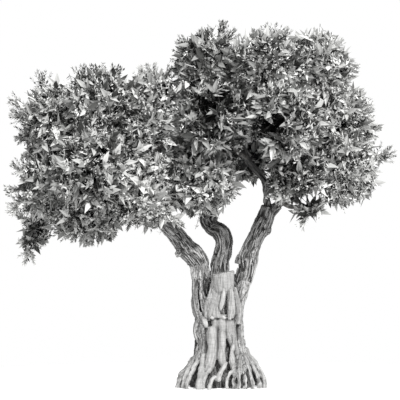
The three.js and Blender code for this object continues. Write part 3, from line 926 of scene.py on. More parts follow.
relief_sockets = dict.fromkeys(["Fissures", "Cracks", "Crumbs", "Lumps", "Seed"], "Float")
relief_sockets["Material"] = "Material"
relief_tree, maker, given = new_tree("bark_relief", relief_sockets)
grain = named(maker, "grain", "FLOAT_VECTOR")
bare = named(maker, "bare", "FLOAT")
bark_grain = Grain(maker, grain, named(maker, "strand", "FLOAT"), given["Seed"])
barked = 1 - bare * BARE_SMOOTHS
cracked = 1 - bare * BARE_CLOSES_CRACKS
height = (bark_grain.valleys(FISSURES, FISSURE_WIDTH) - 1) * given["Fissures"] * barked
height = height + (bark_grain.valleys(CRACKS, CRACK_WIDTH) - 1) * given["Cracks"] * cracked
height = height + (bark_grain.noise(*CRUMBS) - 0.5) * given["Crumbs"] * barked
height = height + (bark_grain.noise(*LUMPS) - 0.5) * given["Lumps"]
normal = maker.add("GeometryNodeInputNormal")["Normal"]
push = maker.add("ShaderNodeVectorMath", {"operation": "SCALE"}, {0: normal, "Scale": height})["Vector"]
moved_values = {"Geometry": given["Geometry"], "Offset": push}
moved = maker.add("GeometryNodeSetPosition", None, moved_values)["Geometry"]
end_tree(maker, real(maker, moved, given["Material"]))
print("nodes in the tree of relief:", len(relief_tree.nodes))

# %% [markdown]
# Now the two pieces of wood: the trunk with its roots, and the boughs. The boughs start inside the trunk,
# so no gap shows where they leave it. Whatever is below the ground is brought up to it, and the sawn face
# of the stub and its rim turn grey, as old cuts do.

# %% The trunk and the boughs
CUT_BAND = 0.010
CUT_REACH = 0.120
CUT_BARE = -0.20


def bark_piece(name, lines, cubes, strands, pitted, extra=None, **depths):
    """One piece of wood from its lines, with the relief of bark and what its finish needs to know."""
    piece = one_skin(name, lines, cubes, extra)
    write_grain(piece.data, strands)
    write(piece.data, "pitted", "FLOAT", np.full(len(piece.data.vertices), pitted))
    run_tree(piece, relief_tree, Material=wood_paint, Seed=BARK_SEED, **depths)
    write_wear_and_shade(piece.data)
    places = places_of(piece.data)
    places[:, 2] = np.maximum(places[:, 2], 0.0)
    set_places(piece.data, places)
    piece.data.polygons.foreach_set("use_smooth", [True] * len(piece.data.polygons))
    piece.data.update()
    print(name, "triangles:", triangles(piece))
    return piece


trunk_piece = bark_piece(
    "trunk_wood", trunk_lines, TRUNK_CUBES, [*STRANDS.values(), *ROOTS], 0.85, stub_piece.data,
    Fissures=0.005, Cracks=0.004, Crumbs=0.010, Lumps=0.014,
)
bpy.data.objects.remove(stub_piece)
places = places_of(trunk_piece.data)
from_stub = np.linalg.norm(places[:, :2] - metres(STRANDS["stub"]["line"][-1])[:2], axis=1)
sawn = (np.abs(cut_height(places) - places[:, 2]) < CUT_BAND) & (from_stub < CUT_REACH)
bare_and_shade_values = trunk_piece.data.attributes["bare"].data
for point in np.flatnonzero(sawn).tolist():
    bare_and_shade_values[point].value = CUT_BARE
print("points on the sawn face:", sawn.sum())

bough_piece = bark_piece(
    "bough_wood", bough_lines, BOUGH_CUBES, [*BOUGHS.values(), *BURLS], 0.25,
    Fissures=0.011, Cracks=0.0035, Crumbs=0.005, Lumps=0.016,
)
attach(trunk_piece, "root")
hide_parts("trunk")
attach(bough_piece, "root")
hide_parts(*[node for node in nodes if node.startswith("bough_")])

# %% [markdown]
# The bark's colour reads the same noise again: grey on the plates and darker in the small pits, with
# painted shade near black at the bottom of a fissure and darker in the small cracks. Bare wood is pale and
# only faintly streaked along its grain, with a little painted shade in its fissures. Then come painted shade
# in the hollows, where bareness is below 0, which also greys the sawn face a little, the wear, pale on what
# stands out, with painted shade in what lies deep, and last painted shade inside the crown, above the
# height where the leaves begin.

# %% The bark's finish
DULL_PLATE = (0.20, 0.199, 0.197, 1)
LIGHT_PLATE = (0.385, 0.383, 0.379, 1)
CRACK_SHADE = (0.060, 0.0595, 0.058, 1)
IN_PITS = (0.045, 0.0445, 0.043, 1)
FISSURE_SHADE = (0.016, 0.0157, 0.015, 1)
DULL_BARE = (0.225, 0.224, 0.221, 1)
LIGHT_BARE = (0.31, 0.308, 0.304, 1)
BARE_BANDS = (0.13, 0.129, 0.126, 1)
BARE_FISSURE_SHADE = (0.05, 0.0495, 0.048, 1)
HOLLOW_SHADE_AND_CUT_GREY = (0.018, 0.0177, 0.017, 1)
WORN = (0.47, 0.468, 0.462, 1)
FURROW_SHADE = (0.022, 0.0217, 0.021, 1)
CROWN_SHADE = (0.030, 0.0297, 0.029, 1)
CROWN_FROM = 1.80
CROWN_FULL = 2.10

maker = wood_maker
bare = maker.attribute("bare")["Fac"]
pitted = maker.attribute("pitted")["Fac"]
wear = maker.attribute("wear")["Fac"]
grain = maker.attribute("grain")["Vector"]
bark_grain = Grain(maker, grain, maker.attribute("strand")["Fac"], BARK_SEED)
fissure = bark_grain.valleys(FISSURES, 0.060)
crack = bark_grain.valleys(CRACKS, 0.075)
pits = bark_grain.noise(*PITS).step(0.51, 0.60)
patches = maker.noise(maker.scaled(grain, (9, 9, 5)), 1.0, 3.0)
streaks = maker.noise(maker.scaled(grain, (90, 90, 7)), 1.0, 3.0)
bands = maker.noise(maker.scaled(grain, (12, 12, 85)), 1.0, 2.0)
bark = maker.blend(patches.step(0.3, 0.7), DULL_PLATE, LIGHT_PLATE)
# Painted shade: the small cracks are darkened.
bark = maker.blend((1 - crack) * 0.8, bark, CRACK_SHADE)
bark = maker.blend(pits * pitted, bark, IN_PITS)
# Painted shade: near black at the bottom of the fissures.
bark = maker.blend((1 - fissure) * (1 - pitted * 0.6), bark, FISSURE_SHADE)
pale = maker.blend(streaks.step(0.25, 0.75), DULL_BARE, LIGHT_BARE)
pale = maker.blend(bands.step(0.35, 0.65) * 0.35, pale, BARE_BANDS)
# Painted shade: the fissures of bare wood are darkened a little.
pale = maker.blend((1 - fissure) * 0.35, pale, BARE_FISSURE_SHADE)
colour = maker.blend(bare.step(0.25, 0.75), bark, pale)
# Painted shade in the hollows, the crotch and the deep wood, where bareness is below 0; it also greys the
# sawn face a little.
colour = maker.blend((0 - bare).step(0.0, 0.7) * 0.85, colour, HOLLOW_SHADE_AND_CUT_GREY)
colour = maker.blend(wear.step(4.0, 13.0) * 0.45, colour, WORN)
# Painted shade in the furrows, where the skin lies below its smoothed copy.
colour = maker.blend((0 - wear).step(0.0, 9.0) * 0.80, colour, FURROW_SHADE)
object_place = maker.add("ShaderNodeTexCoord")["Object"]
above_ground = maker.add("ShaderNodeSeparateXYZ", None, {"Vector": object_place})["Z"]
# Painted shade inside the crown: the bark is darker above the height where the leaves begin.
colour = maker.blend(above_ground.step(CROWN_FROM, CROWN_FULL) * 0.60, colour, CROWN_SHADE)
maker.feed(wood_inputs["Base Color"], colour)
maker.feed(wood_inputs["Roughness"], 0.94 - bare * 0.22 + (streaks - 0.5) * 0.2)
raised = (fissure * 1.2 + crack * 0.5 - pits * pitted * 0.7) * (1 - bare * 0.8)
raised = raised + streaks * 0.5 + bands * 0.3
bump_values = {"Strength": 0.7, "Distance": 0.006, "Height": raised}
maker.feed(wood_inputs["Normal"], maker.add("ShaderNodeBump", None, bump_values)["Normal"])
print("nodes in the bark's finish:", len(wood_paint.node_tree.nodes))

# %% [markdown]
# The crown is a group of rounded masses, each carried by its own limb. The table gives the middle of each,
# how far it reaches, which bough carries it and where along it, and where its long shoots end. A mass may
# also have its leaves painted paler than the rest, as light, or darker when its tone is below 0, as shade,
# its own share of the usual number of sprays and stars, its own size of star, and fewer sprays on each
# shoot. Most masses repeat the source's. Eight small ones are here alone, because they only close seams,
# fill the two sides and widen the tip of the tail: left_between, left_seam, right_fork, left_tail_tip and
# the four named side. The tuft low on the right is shifted a little from its solid. The order of the
# masses fixes how they grow.

# %% The masses of foliage
def mass(middle, reach, bough, share, **more):
    """One row of the table."""
    return {"middle": middle, "reach": reach, "on": (bough, share), **more}


MASSES = {
    "left_top_outer": mass([-1615, -170, 2550], [335, 370, 410], "bough_left_outer", 0.97, tone=0.7, shoots=[
        [-1770, -110, 3040], [-2060, -150, 2770], [-2050, -130, 2610], [-1990, -110, 2330],
    ]),
    "left_top_middle": mass([-1150, -440, 2660], [400, 390, 420], "bough_left_outer", 0.6, shoots=[
        [-1200, -350, 3080], [-1430, -350, 3050], [-975, -300, 3075],
    ]),
    "left_top_inner": mass([-670, -120, 2680], [360, 370, 395], "bough_left", 0.93, tone=1.1, shoots=[
        [-650, -90, 3110], [-470, -90, 3080], [-780, -110, 3085],
    ]),
    "left_middle_outer": mass(
        [-1650, -130, 1950], [345, 360, 390], "bough_left_outer", 0.9, tone=1.0,
        shoots=[[-2105, -60, 1865], [-2080, -90, 1650], [-2040, -80, 2130]],
    ),
    "left_front": mass([-1190, -700, 2080], [430, 380, 420], "bough_left_outer", 0.38, tone=-0.3),
    "left_tail": mass([-1770, -40, 1500], [155, 155, 240], "bough_left_outer", 0.8, tone=1.4, shoots=[
        [-1910, -30, 1150], [-1990, -60, 1640],
    ]),
    "left_low_middle": mass([-1260, -190, 1690], [430, 390, 315], "bough_left_outer", 0.5, tone=0.7, shoots=[
        [-1240, -150, 1320], [-1500, -150, 1400], [-1010, -200, 1420], [-1620, -130, 1420],
    ]),
    "left_low_inner": mass([-770, -410, 1910], [400, 380, 440], "bough_left", 0.84, tone=0.6, shoots=[
        [-340, -380, 1500], [-620, -420, 1490], [-900, -400, 1470],
    ]),
    "left_between": mass([-640, -450, 2440], [250, 240, 220], "bough_left", 0.9, tone=1.4),
    "left_seam": mass([-900, -560, 2270], [250, 240, 250], "bough_left_outer", 0.3, tone=1.4),
    "left_back_outer": mass([-1490, 530, 2270], [440, 430, 500], "bough_left_outer", 0.7),
    "left_back_inner": mass([-900, 600, 2270], [460, 420, 540], "bough_left_outer", 0.25),
    "right_top_inner": mass([-150, -130, 3090], [360, 360, 370], "bough_right_upright", 0.97, shoots=[
        [60, -120, 3500], [-440, -120, 3320], [130, -150, 3440],
    ]),
    "right_top_middle": mass(
        [400, -400, 3055], [380, 370, 390], "bough_right_upright", 0.92, tone=0.4,
        shoots=[[520, -330, 3470], [640, -300, 3420]],
    ),
    "right_top_outer": mass([860, -150, 3040], [400, 380, 390], "bough_right_fork", 0.97, tone=1.3, shoots=[
        [1160, -120, 3330], [1340, -120, 3075],
    ]),
    "right_front": mass([590, -700, 2520], [430, 380, 400], "bough_right_fork", 0.6),
    "right_outer": mass([1130, -120, 2540], [360, 370, 380], "bough_right_fork", 0.9, tone=1.5, shoots=[
        [1470, -100, 2660], [1540, -110, 2440],
    ]),
    "right_low_outer": mass([1165, -150, 2090], [365, 360, 375], "bough_right_fork", 0.75, tone=1.0, shoots=[
        [1678, -150, 2250], [1240, -150, 1720], [1010, -160, 1740],
    ]),
    "right_low_inner": mass([740, -350, 2070], [350, 350, 330], "bough_right_fork", 0.4, shoots=[
        [490, -330, 1840],
    ]),
    "right_fork": mass([560, -420, 1960], [175, 160, 240], "bough_right_fork", 0.3, tone=1.3),
    "right_low_tuft": mass(
        [832, -240, 1702], [190, 130, 75], "bough_right_fork", 0.22, tone=1.6, sprays=0.14, stars=0.55,
        star_size=1.0, shoot_sprays=5,
        shoots=[[735, -260, 1530], [1010, -240, 1790]],
    ),
    "right_back_inner": mass([420, 530, 2800], [470, 420, 560], "bough_right_upright", 0.82),
    "right_back_outer": mass([1020, 560, 2480], [470, 420, 520], "bough_right_fork", 0.82),
    "right_inner": mass([270, 370, 2210], [280, 250, 260], "bough_right_upright", 0.42),
    "centre_front": mass([-80, -480, 2560], [400, 380, 400], "bough_right_upright", 0.7, tone=-0.8),
    "centre_low": mass([-245, -310, 2010], [400, 350, 395], "bough_centre", 0.94, tone=0.5, shoots=[
        [190, -280, 1820], [-130, -280, 1630], [-420, -330, 1700], [-320, -300, 1600], [90, -280, 1740],
    ]),
    "centre_back": mass([-210, 530, 2480], [460, 400, 540], "bough_centre", 0.98),
    "right_side": mass([1000, 240, 2860], [280, 270, 330], "bough_right_fork", 0.9, sprays=0.8),
    "right_low_side": mass([980, 210, 2180], [300, 250, 310], "bough_right_fork", 0.6, sprays=0.8),
    "left_side": mass([-1530, 220, 2430], [290, 260, 330], "bough_left_outer", 0.85, sprays=0.8),
    "left_low_side": mass([-1460, 200, 1900], [290, 240, 280], "bough_left_outer", 0.7, sprays=0.8),
    "left_tail_tip": mass(
        [-1815, -60, 1402], [145, 120, 88], "bough_left_outer", 0.8, tone=1.0, sprays=0.9, stars=0.5,
        star_size=0.8,
    ),
}
GROUPS = {
    "left_top": ["left_top_outer", "left_top_middle", "left_top_inner", "left_middle_outer"],
    "left_low": [
        "left_front", "left_tail", "left_tail_tip", "left_low_middle", "left_low_inner", "left_between",
        "left_seam",
    ],
    "left_back": ["left_back_outer", "left_back_inner", "left_side", "left_low_side"],
    "right_top": ["right_top_inner", "right_top_middle", "right_top_outer", "right_front"],
    "right_low": ["right_outer", "right_low_outer", "right_low_inner", "right_fork", "right_low_tuft"],
    "right_back": ["right_back_inner", "right_back_outer", "right_inner", "right_side", "right_low_side"],
    "centre": ["centre_front", "centre_low", "centre_back"],
}
print("masses:", len(MASSES))

# %% [markdown]
# Neighbouring masses share out the space between them by flat walls, as soap bubbles do, each wall nearer
# to the smaller mass. A twig that would cross a wall is shortened. Here the walls are only a guide, and a
# spray may lean a little over them, so that the crown doesn't fall apart into balls.

# %% Walls between the masses
LEAN_OVER_WALLS = 1.20
ALONG_WALL = 1e-6
NO_WALL = 99.0


def walls_of(name):
    """The way to each other mass, and how far off the wall between the two stands."""
    mass = MASSES[name]
    middle = metres(mass["middle"])
    ways = []
    limits = []
    for other_name, other in MASSES.items():
        if other_name == name:
            continue
        offset = metres(other["middle"]) - middle
        apart = np.linalg.norm(offset)
        way = offset / apart
        mine = np.linalg.norm(way * metres(mass["reach"]))
        theirs = np.linalg.norm(way * metres(other["reach"]))
        ways.append(way)
        limits.append(apart * mine / (mine + theirs))
    return np.array(ways), np.array(limits)


def share_inside(offsets, walls):
    """The share of each offset from a mass's middle that stays inside its walls."""
    ways, limits = walls
    towards = offsets @ ways.T
    shares = np.where(towards > ALONG_WALL, limits / np.maximum(towards, ALONG_WALL), NO_WALL)
    return shares.min(1)


# %% [markdown]
# From the front the sky shows through the crown in a few places, and between its clumps lie dark pockets.
# A gap is an ellipse, seen from the front, that twigs and the tips of sprays keep out of: x, z, half its
# width and half its height, in metres. In a pocket fewer sprays grow, and the deeper in it, the darker
# their leaves are painted, as shade: x, y, z and radius in millimetres, and how strong it is.

# %% Gaps that show the sky, and dark pockets
SKY_GAPS = [
    (0.300, 1.84, 0.095, 0.100), (0.175, 1.68, 0.140, 0.075), (-0.400, 3.40, 0.110, 0.120),
    (-1.950, 1.975, 0.060, 0.065), (0.810, 1.838, 0.130, 0.036), (1.440, 2.740, 0.070, 0.090),
    (-0.470, 3.080, 0.035, 0.130), (-1.895, 1.508, 0.090, 0.050),
]
POCKETS = [
    [430, -1060, 2465, 165, 1.0], [10, -860, 2380, 120, 0.7], [-180, -880, 2610, 150, 1.0],
    [-1215, -1060, 1870, 125, 1.0], [50, -820, 2780, 150, 0.95], [290, -760, 2170, 220, 1.0],
    [130, -800, 2250, 200, 1.0], [-320, -640, 2850, 130, 0.85], [60, -560, 3060, 90, 0.7],
    [60, -620, 2940, 90, 0.7], [200, -900, 2560, 120, 0.5], [-470, -700, 2170, 120, 0.6],
    [775, -560, 3060, 90, 0.6], [-1580, -560, 2110, 120, 0.9], [-1640, -560, 2600, 90, 0.4],
    [890, -640, 1960, 90, 0.6], [-900, -820, 2660, 90, 0.4], [330, -1000, 2440, 130, 0.9],
]
POCKET_FADE = 1.7
POCKET_LENGTH = 0.5


def in_sky_gap(points):
    """True where a point would close a gap that shows the sky from the front."""
    closed = np.zeros(len(points), bool)
    for x, z, wide, tall in SKY_GAPS:
        closed |= ((points[:, 0] - x) / wide)**2 + ((points[:, 2] - z) / tall)**2 < 1
    return closed


def pocket_depth(points):
    """How deep each point lies in a pocket: its strength in its middle, less outwards, 0 far from all."""
    deep = np.zeros(len(points))
    for *middle, radius, strength in POCKETS:
        offset = (points - metres(middle)) / (radius * MM)
        offset[:, 1] *= POCKET_LENGTH
        deep = np.maximum(deep, strength * (1 - np.linalg.norm(offset, axis=1) / POCKET_FADE))
    return deep


print("gaps:", len(SKY_GAPS), "pockets:", len(POCKETS))

# %% [markdown]
# From its bough a limb sags a little, then runs up into the middle of its mass. Twigs are bent lines too,
# made many at once. The golden angle spreads any number of ways evenly in all directions.

# %% Limbs and bent lines
GOLDEN_TURN = math.pi * (3 - math.sqrt(5))
LIMB_START = 0.66
LIMB_RADII = (0.022, 0.017, 0.010)
LIMB_STEPS = 14
SAG = 0.1


def golden_ways(count, phase):
    height = 1 - (2 * np.arange(count) + 1) / count
    flat = np.sqrt(1 - height**2)
    angle = np.arange(count) * GOLDEN_TURN + phase
    return np.column_stack([flat * np.cos(angle), flat * np.sin(angle), height])


def limb_line(name):
    """The limb from its bough into the middle of its mass."""
    bough_name, share = MASSES[name]["on"]
    path = line_through(BOUGHS[bough_name]["line"])
    start = path[int(share * (len(path) - 1))]
    middle = metres(MASSES[name]["middle"])
    back = start[:3] - middle
    end = middle + back * 0.35
    span = np.linalg.norm(end - start[:3])
    bend = (start[:3] + end) / 2 - UP * SAG * span
    points = np.array([start[:3], bend, end, middle + back * -0.15])
    radii = np.array([LIMB_START * start[3], *LIMB_RADII])
    return line_through(np.column_stack([points, radii]) / MM, LIMB_STEPS)


def bent(starts, ends, bends, thick, thin, steps):
    """Lines from starts to ends through bent middles, all at once."""
    t = np.linspace(0, 1, steps)[None, :, None]
    middles = (starts + ends)[:, None] / 2 + bends[:, None]
    path = (1 - t)**2 * starts[:, None] + 2 * t * (1 - t) * middles + t**2 * ends[:, None]
    radii = np.broadcast_to(thick + (thin - thick) * t[..., :1], (*path.shape[:2], 1))
    return np.concatenate([path, radii], axis=2)


def point_on(lines, chosen, share):
    """A point at a share of the length of each chosen line."""
    place = np.minimum(share, 0.999) * (lines.shape[1] - 1)
    low = place.astype(int)
    mix = (place - low)[:, None]
    return lines[chosen, low, :3] * (1 - mix) + lines[chosen, low + 1, :3] * mix


# %% [markdown]
# From the limb the first twigs spread evenly in all directions, as the source's do, and each carries a
# clump: side twigs that end in sprays. Each clump comes a little more or less far out than the next, and
# where no first twig is near, the surface sinks into a hollow.

# %% A mass and its first twigs
FIRST_TWIGS = 40
FEWEST_TWIGS = 12
TWIG_JITTER = 0.10
TWIG_REACH = 0.84
TWIG_UNEVEN = (0.84, 1.08)
TWIG_IN_WALLS = 0.97
TWIG_SWAY = 0.10
TWIG_BASE = 0.0058
TWIG_TIP = 0.0028
TWIG_STEPS = 6
CLUMP_SHARE = (0.80, 1.03)
USUAL_REACH = 0.380
HOLLOWS = 2.3
IN_FROM_BOX = 0.04
PAST_REACH = 1.05


class Mass:
    """One mass of foliage: its shape, its first twigs and its own random source."""

    def __init__(self, name, index):
        self.table = MASSES[name]
        self.index = index
        self.random = chance(name)
        self.walls = walls_of(name)
        self.middle = metres(self.table["middle"])
        self.reach = metres(self.table["reach"])
        self.size = np.prod(self.reach) ** (1 / 3) / USUAL_REACH
        self.leaf_scale = min(1.0, self.size + 0.3)
        self.start_twigs(limb_line(name))

    def start_twigs(self, limb):
        """The first twigs: their lines, which way they face and how far out each one's clump comes."""
        count = max(FEWEST_TWIGS, int(FIRST_TWIGS * self.size**2))
        ways = unit(golden_ways(count, self.index) + self.random.normal(0, TWIG_JITTER, (count, 3)))
        free = share_inside(ways * self.reach, self.walls)
        share = np.minimum(TWIG_REACH * self.random.uniform(*TWIG_UNEVEN, count), TWIG_IN_WALLS * free)
        ends = self.middle + ways * self.reach * share[:, None]
        starts = limb[self.random.integers(LIMB_STEPS // 2, len(limb), count), :3]
        clump = self.random.uniform(*CLUMP_SHARE, count)
        span = np.linalg.norm(ends - starts, axis=1)[:, None]
        sway = self.random.normal(0, TWIG_SWAY, (count, 3)) * span - UP * SAG * span
        lines = bent(starts, ends, sway, TWIG_BASE * self.size, TWIG_TIP, TWIG_STEPS)
        clear = np.array([not in_sky_gap(line).any() for line in lines])
        self.lines = lines[clear]
        self.ways = ways[clear]
        self.clump = clump[clear]

    def spread(self, count, phase, jitter, shares):
        """Even ways out, the first twig nearest to each, and how far out the surface lies there."""
        out = golden_ways(count, phase)
        out = unit(out + self.random.normal(0, jitter, out.shape))
        closeness = out @ self.ways.T
        twig = closeness.argmax(1)
        angle = np.arccos(np.clip(closeness.max(1), -1, 1))
        share = self.clump[twig] * (1 - HOLLOWS * angle**2) * self.random.uniform(*shares, len(out))
        return out, twig, share

    def holds(self, tips):
        """Which tips stay within the mass's reach, its walls and the tree's box, and leave gaps open."""
        offsets = tips - self.middle
        near = np.linalg.norm(offsets / self.reach, axis=1) < PAST_REACH
        near &= share_inside(offsets, self.walls) * LEAN_OVER_WALLS > 1
        low = np.array(cad_low) + IN_FROM_BOX
        high = np.array(cad_high) - IN_FROM_BOX
        near &= ((tips > low) & (tips < high)).all(1)
        return near & ~in_sky_gap(tips)


# %% [markdown]
# The sprays stand in three layers, painted dark as shade inside and pale as light outside: how many on a
# mass of the usual size, how far out, how long their stems and leaves are, which colour they are near, and
# from which depth of a pocket on none grows. A few strays of the inner layer may leave the mass. Some side
# twigs end in a star of large leaves instead, and long shoots stand out beyond the rest.

# %% Layers of sprays, stars and shoots
SPRAY_JITTER = 0.04
LONGEST_STEMS = 1.1
LEAN_OUT = 0.70
LEAN_UP = 0.28
LEAN_LOOSE = 0.52
POCKET_SHADE = 4.5
SURFACE_LIGHT = 2.5
STRAYS = 0.12
STARS = 310
STAR_JITTER = 0.06
STAR_SHARE = (0.83, 0.97)
STAR_LOOSE = 0.40
SHOOT_START = 0.45
SHOOT_SHORT_BY = 0.175
SHOOT_SPRAYS = 11
SHOOT_SPRAY = 0.15
SHOOT_LEAF = 0.052
SHOOT_TONE = 2.2
# Each layer's tone paints shade on the inner sprays and light on the outer ones.
LAYERS = {
    "inner": {
        "sprays": 120, "share": (0.52, 0.78), "stem": (0.12, 0.17), "leaf": (0.100, 0.135),
        "tone": -0.4, "closed": 2.0,
    },
    "middle": {
        "sprays": 150, "share": (0.80, 0.92), "stem": (0.12, 0.18), "leaf": (0.044, 0.058),
        "tone": 1.1, "closed": 0.7,
    },
    "outer": {
        "sprays": 425, "share": (0.89, 0.995), "stem": (0.12, 0.19), "leaf": (0.036, 0.048),
        "tone": 4.35, "closed": 0.42,
    },
}


def kept(parts, keep):
    """Parts of sprays or stars, without those that aren't kept."""
    return {name: values[keep] for name, values in parts.items()}


def joined(groups):
    """Several groups of sprays or stars as one."""
    return {name: np.concatenate([group[name] for group in groups]) for name in groups[0]}


def spray_layer(mass, layer, strays):
    """Where the sprays of one layer stand; a few strays may leave the mass."""
    random = mass.random
    count = int(mass.table.get("sprays", 1) * layer["sprays"] * mass.size**1.6)
    phase = mass.index * 1.7 + layer["tone"]
    out, twig, share = mass.spread(count, phase, SPRAY_JITTER, layer["share"])
    tips = mass.middle + out * mass.reach * share[:, None]
    keep = mass.holds(tips) | (random.uniform(0, 1, len(out)) < strays)
    deep = pocket_depth(tips)
    keep &= deep < layer["closed"]
    outward = unit(out / mass.reach)
    heading = unit(outward * LEAN_OUT + random.normal(0, LEAN_LOOSE, out.shape) + UP * LEAN_UP)
    length = random.uniform(*layer["stem"], len(out)) * min(mass.size, LONGEST_STEMS)
    roots = point_on(mass.lines, twig, random.uniform(0.55, 1.0, len(out)))
    leaf = random.uniform(*layer["leaf"], len(out)) * mass.leaf_scale
    # Painted light: sprays nearer the outside of the mass are paler.
    tone = layer["tone"] + SURFACE_LIGHT * np.clip(share - layer["share"][1], -0.4, 0.1)
    # Painted shade: the deeper a spray stands in a pocket, the darker its leaves.
    tone = tone - POCKET_SHADE * np.maximum(deep, 0)
    sprays = {"twig": twig, "roots": roots, "bases": tips - heading * length[:, None]}
    return kept({**sprays, "heading": heading, "length": length, "leaf": leaf, "tone": tone}, keep)


def star_places(mass):
    """Where the stars of large leaves stand and which way they look."""
    count = int(mass.table.get("stars", 1) * STARS * mass.size**1.4)
    out, twig, share = mass.spread(count, mass.index + 0.4, STAR_JITTER, STAR_SHARE)
    outward = unit(out / mass.reach)
    ways = unit(outward * 0.9 + UP * 0.1 + mass.random.normal(0, STAR_LOOSE, out.shape))
    bases = mass.middle + out * mass.reach * share[:, None] - ways * 0.05
    roots = point_on(mass.lines, twig, mass.random.uniform(0.6, 1.0, len(out)))
    keep = mass.holds(bases + ways * 0.09) & (pocket_depth(bases) < LAYERS["outer"]["closed"])
    return kept({"roots": roots, "bases": bases, "ways": ways}, keep)


def shoot(mass, tip):
    """A long shoot to the tip: its line, the sprays along its outer part and a few stars."""
    random = mass.random
    start = mass.middle * (1 - SHOOT_START) + tip * SHOOT_START
    way = unit(tip - mass.middle)
    end = tip - way * SHOOT_SHORT_BY
    line = bent(start[None], end[None], random.normal(0, 0.012, (1, 3)), 0.005, 0.002, 6)
    place = np.linspace(0.25, 1.0, mass.table.get("shoot_sprays", SHOOT_SPRAYS))[:, None]
    spots = start + (end - start) * place
    lean = unit(random.normal(0, 1, spots.shape) + way * 0.9)
    lean[-1] = way
    lean = unit(lean + way * 1.1)
    length = SHOOT_SPRAY * (1.2 - 0.4 * place[:, 0])
    keep = ~in_sky_gap(spots + lean * 0.5 * length[:, None])
    twig = np.full(len(spots), random.integers(0, len(mass.ways)))
    leaf = np.full(len(spots), SHOOT_LEAF)
    tone = np.full(len(spots), SHOOT_TONE)
    sprays = {"twig": twig, "roots": spots, "bases": spots + lean * 0.01}
    sprays = kept({**sprays, "heading": lean, "length": length, "leaf": leaf, "tone": tone}, keep)
    large = sprays["roots"][5::5] if way[2] < 0.3 else spots[:0]
    large_ways = unit(random.normal(0, 1, large.shape) + way * 0.8)
    return line, sprays, {"roots": large, "bases": large, "ways": large_ways}


# %% [markdown]
# Each leaf is one point that knows which way the leaf runs, which way its upper face looks, how long it
# is and which of the leaf colours its spray was dealt. A spray is a thin stem with pairs of small leaves,
# every pair turned from the one before. Sprays deep in the crown are dealt the darker colours as painted
# shade, those outside the paler ones as painted light. A star has two to five large leaves.

# %% Sprays of small leaves and stars of large ones
# Painted shade and light: the darkest greys go to leaves deep in the crown, the palest to those outside; the
# greys also vary at random.
LEAF_TONES_AND_SHADES = {
    "leaf_deep": (0.006, 0.0061, 0.0058),
    "leaf_dark": (0.050, 0.0505, 0.0485),
    "leaf_middle": (0.200, 0.201, 0.196),
    "leaf_grey": (0.345, 0.346, 0.338),
    "leaf_pale": (0.480, 0.481, 0.471),
    "leaf_silver": (0.640, 0.640, 0.629),
}
TONE_BY_SPRAY = 0.45
TONE_BY_LEAF = 1.6
PAIRS = 7
PAIR_TURN = math.radians(82)
PAIR_LEAN = (40, 66)
STAR_LEAVES = (2, 5)
STAR_LEAF = (0.080, 0.175)
STAR_LEAN = (30, 84)
STAR_TONE = 3.25
SPRAY_RISE = 0.10
STEM_RADII = (0.0030, 0.0022, 0.0008)


def across_ways(ways, random):
    """Two directions across each way, turned at random about it."""
    first = unit(np.cross(ways, random.normal(0, 1, ways.shape)))
    return first, np.cross(ways, first)


def leaf_rows(places, along, face, length, tone):
    return np.column_stack([places, along, face, length, tone])


def shifted(tone, spread, random):
    """A spray's colour number, a step or more lighter or darker on some of its leaves."""
    return np.clip(np.round(tone + random.normal(0, spread, len(tone))), 0, len(LEAF_TONES_AND_SHADES) - 1)


def spray_stems(roots, bases, heading, length):
    """A side twig and the spray's stem beyond it, as one line of three points."""
    tips = bases + heading * length[:, None] + UP * SPRAY_RISE * length[:, None]
    path = np.stack([roots, bases, tips], axis=1)
    radii = np.broadcast_to(np.array(STEM_RADII)[None, :, None], (len(roots), 3, 1))
    return np.concatenate([path, radii], axis=2)


def grow_sprays(bases, heading, length, leaf_length, tone, random):
    """Rows for the leaves of all sprays: two at each pair's place and one at the tip."""
    first, second = across_ways(heading, random)
    tone = tone + random.normal(0, TONE_BY_SPRAY, len(bases))
    rows = []
    for side in (1, -1):
        for k, t in enumerate(np.linspace(0.10, 1.0, PAIRS)):
            stem = unit(heading + UP * 0.2 * t)
            places = bases + heading * (length * t)[:, None] + UP * (SPRAY_RISE * length * t**2)[:, None]
            turn = k * PAIR_TURN + random.normal(0, 0.22, len(bases))
            out = side * (np.cos(turn)[:, None] * first + np.sin(turn)[:, None] * second)
            lean = np.radians(random.uniform(*PAIR_LEAN, len(bases)) * (1 - 0.45 * t))[:, None]
            along = unit(stem * np.cos(lean) + out * np.sin(lean) + random.normal(0, 0.12, out.shape))
            face = unit(stem * np.sin(lean) - out * np.cos(lean) + random.normal(0, 0.35, out.shape))
            leaf = leaf_length * random.uniform(0.85, 1.12, len(bases)) * (1 - 0.30 * t ** 2)
            rows.append(leaf_rows(places, along, face, leaf, shifted(tone, TONE_BY_LEAF, random)))
    tips = bases + heading * length[:, None] + UP * (SPRAY_RISE * length)[:, None]
    along = unit(heading + UP * 0.2)
    face = unit(np.cross(heading, first))
    rows.append(leaf_rows(tips, along, face, 0.8 * leaf_length, shifted(tone, 0.3, random)))
    return np.vstack(rows)


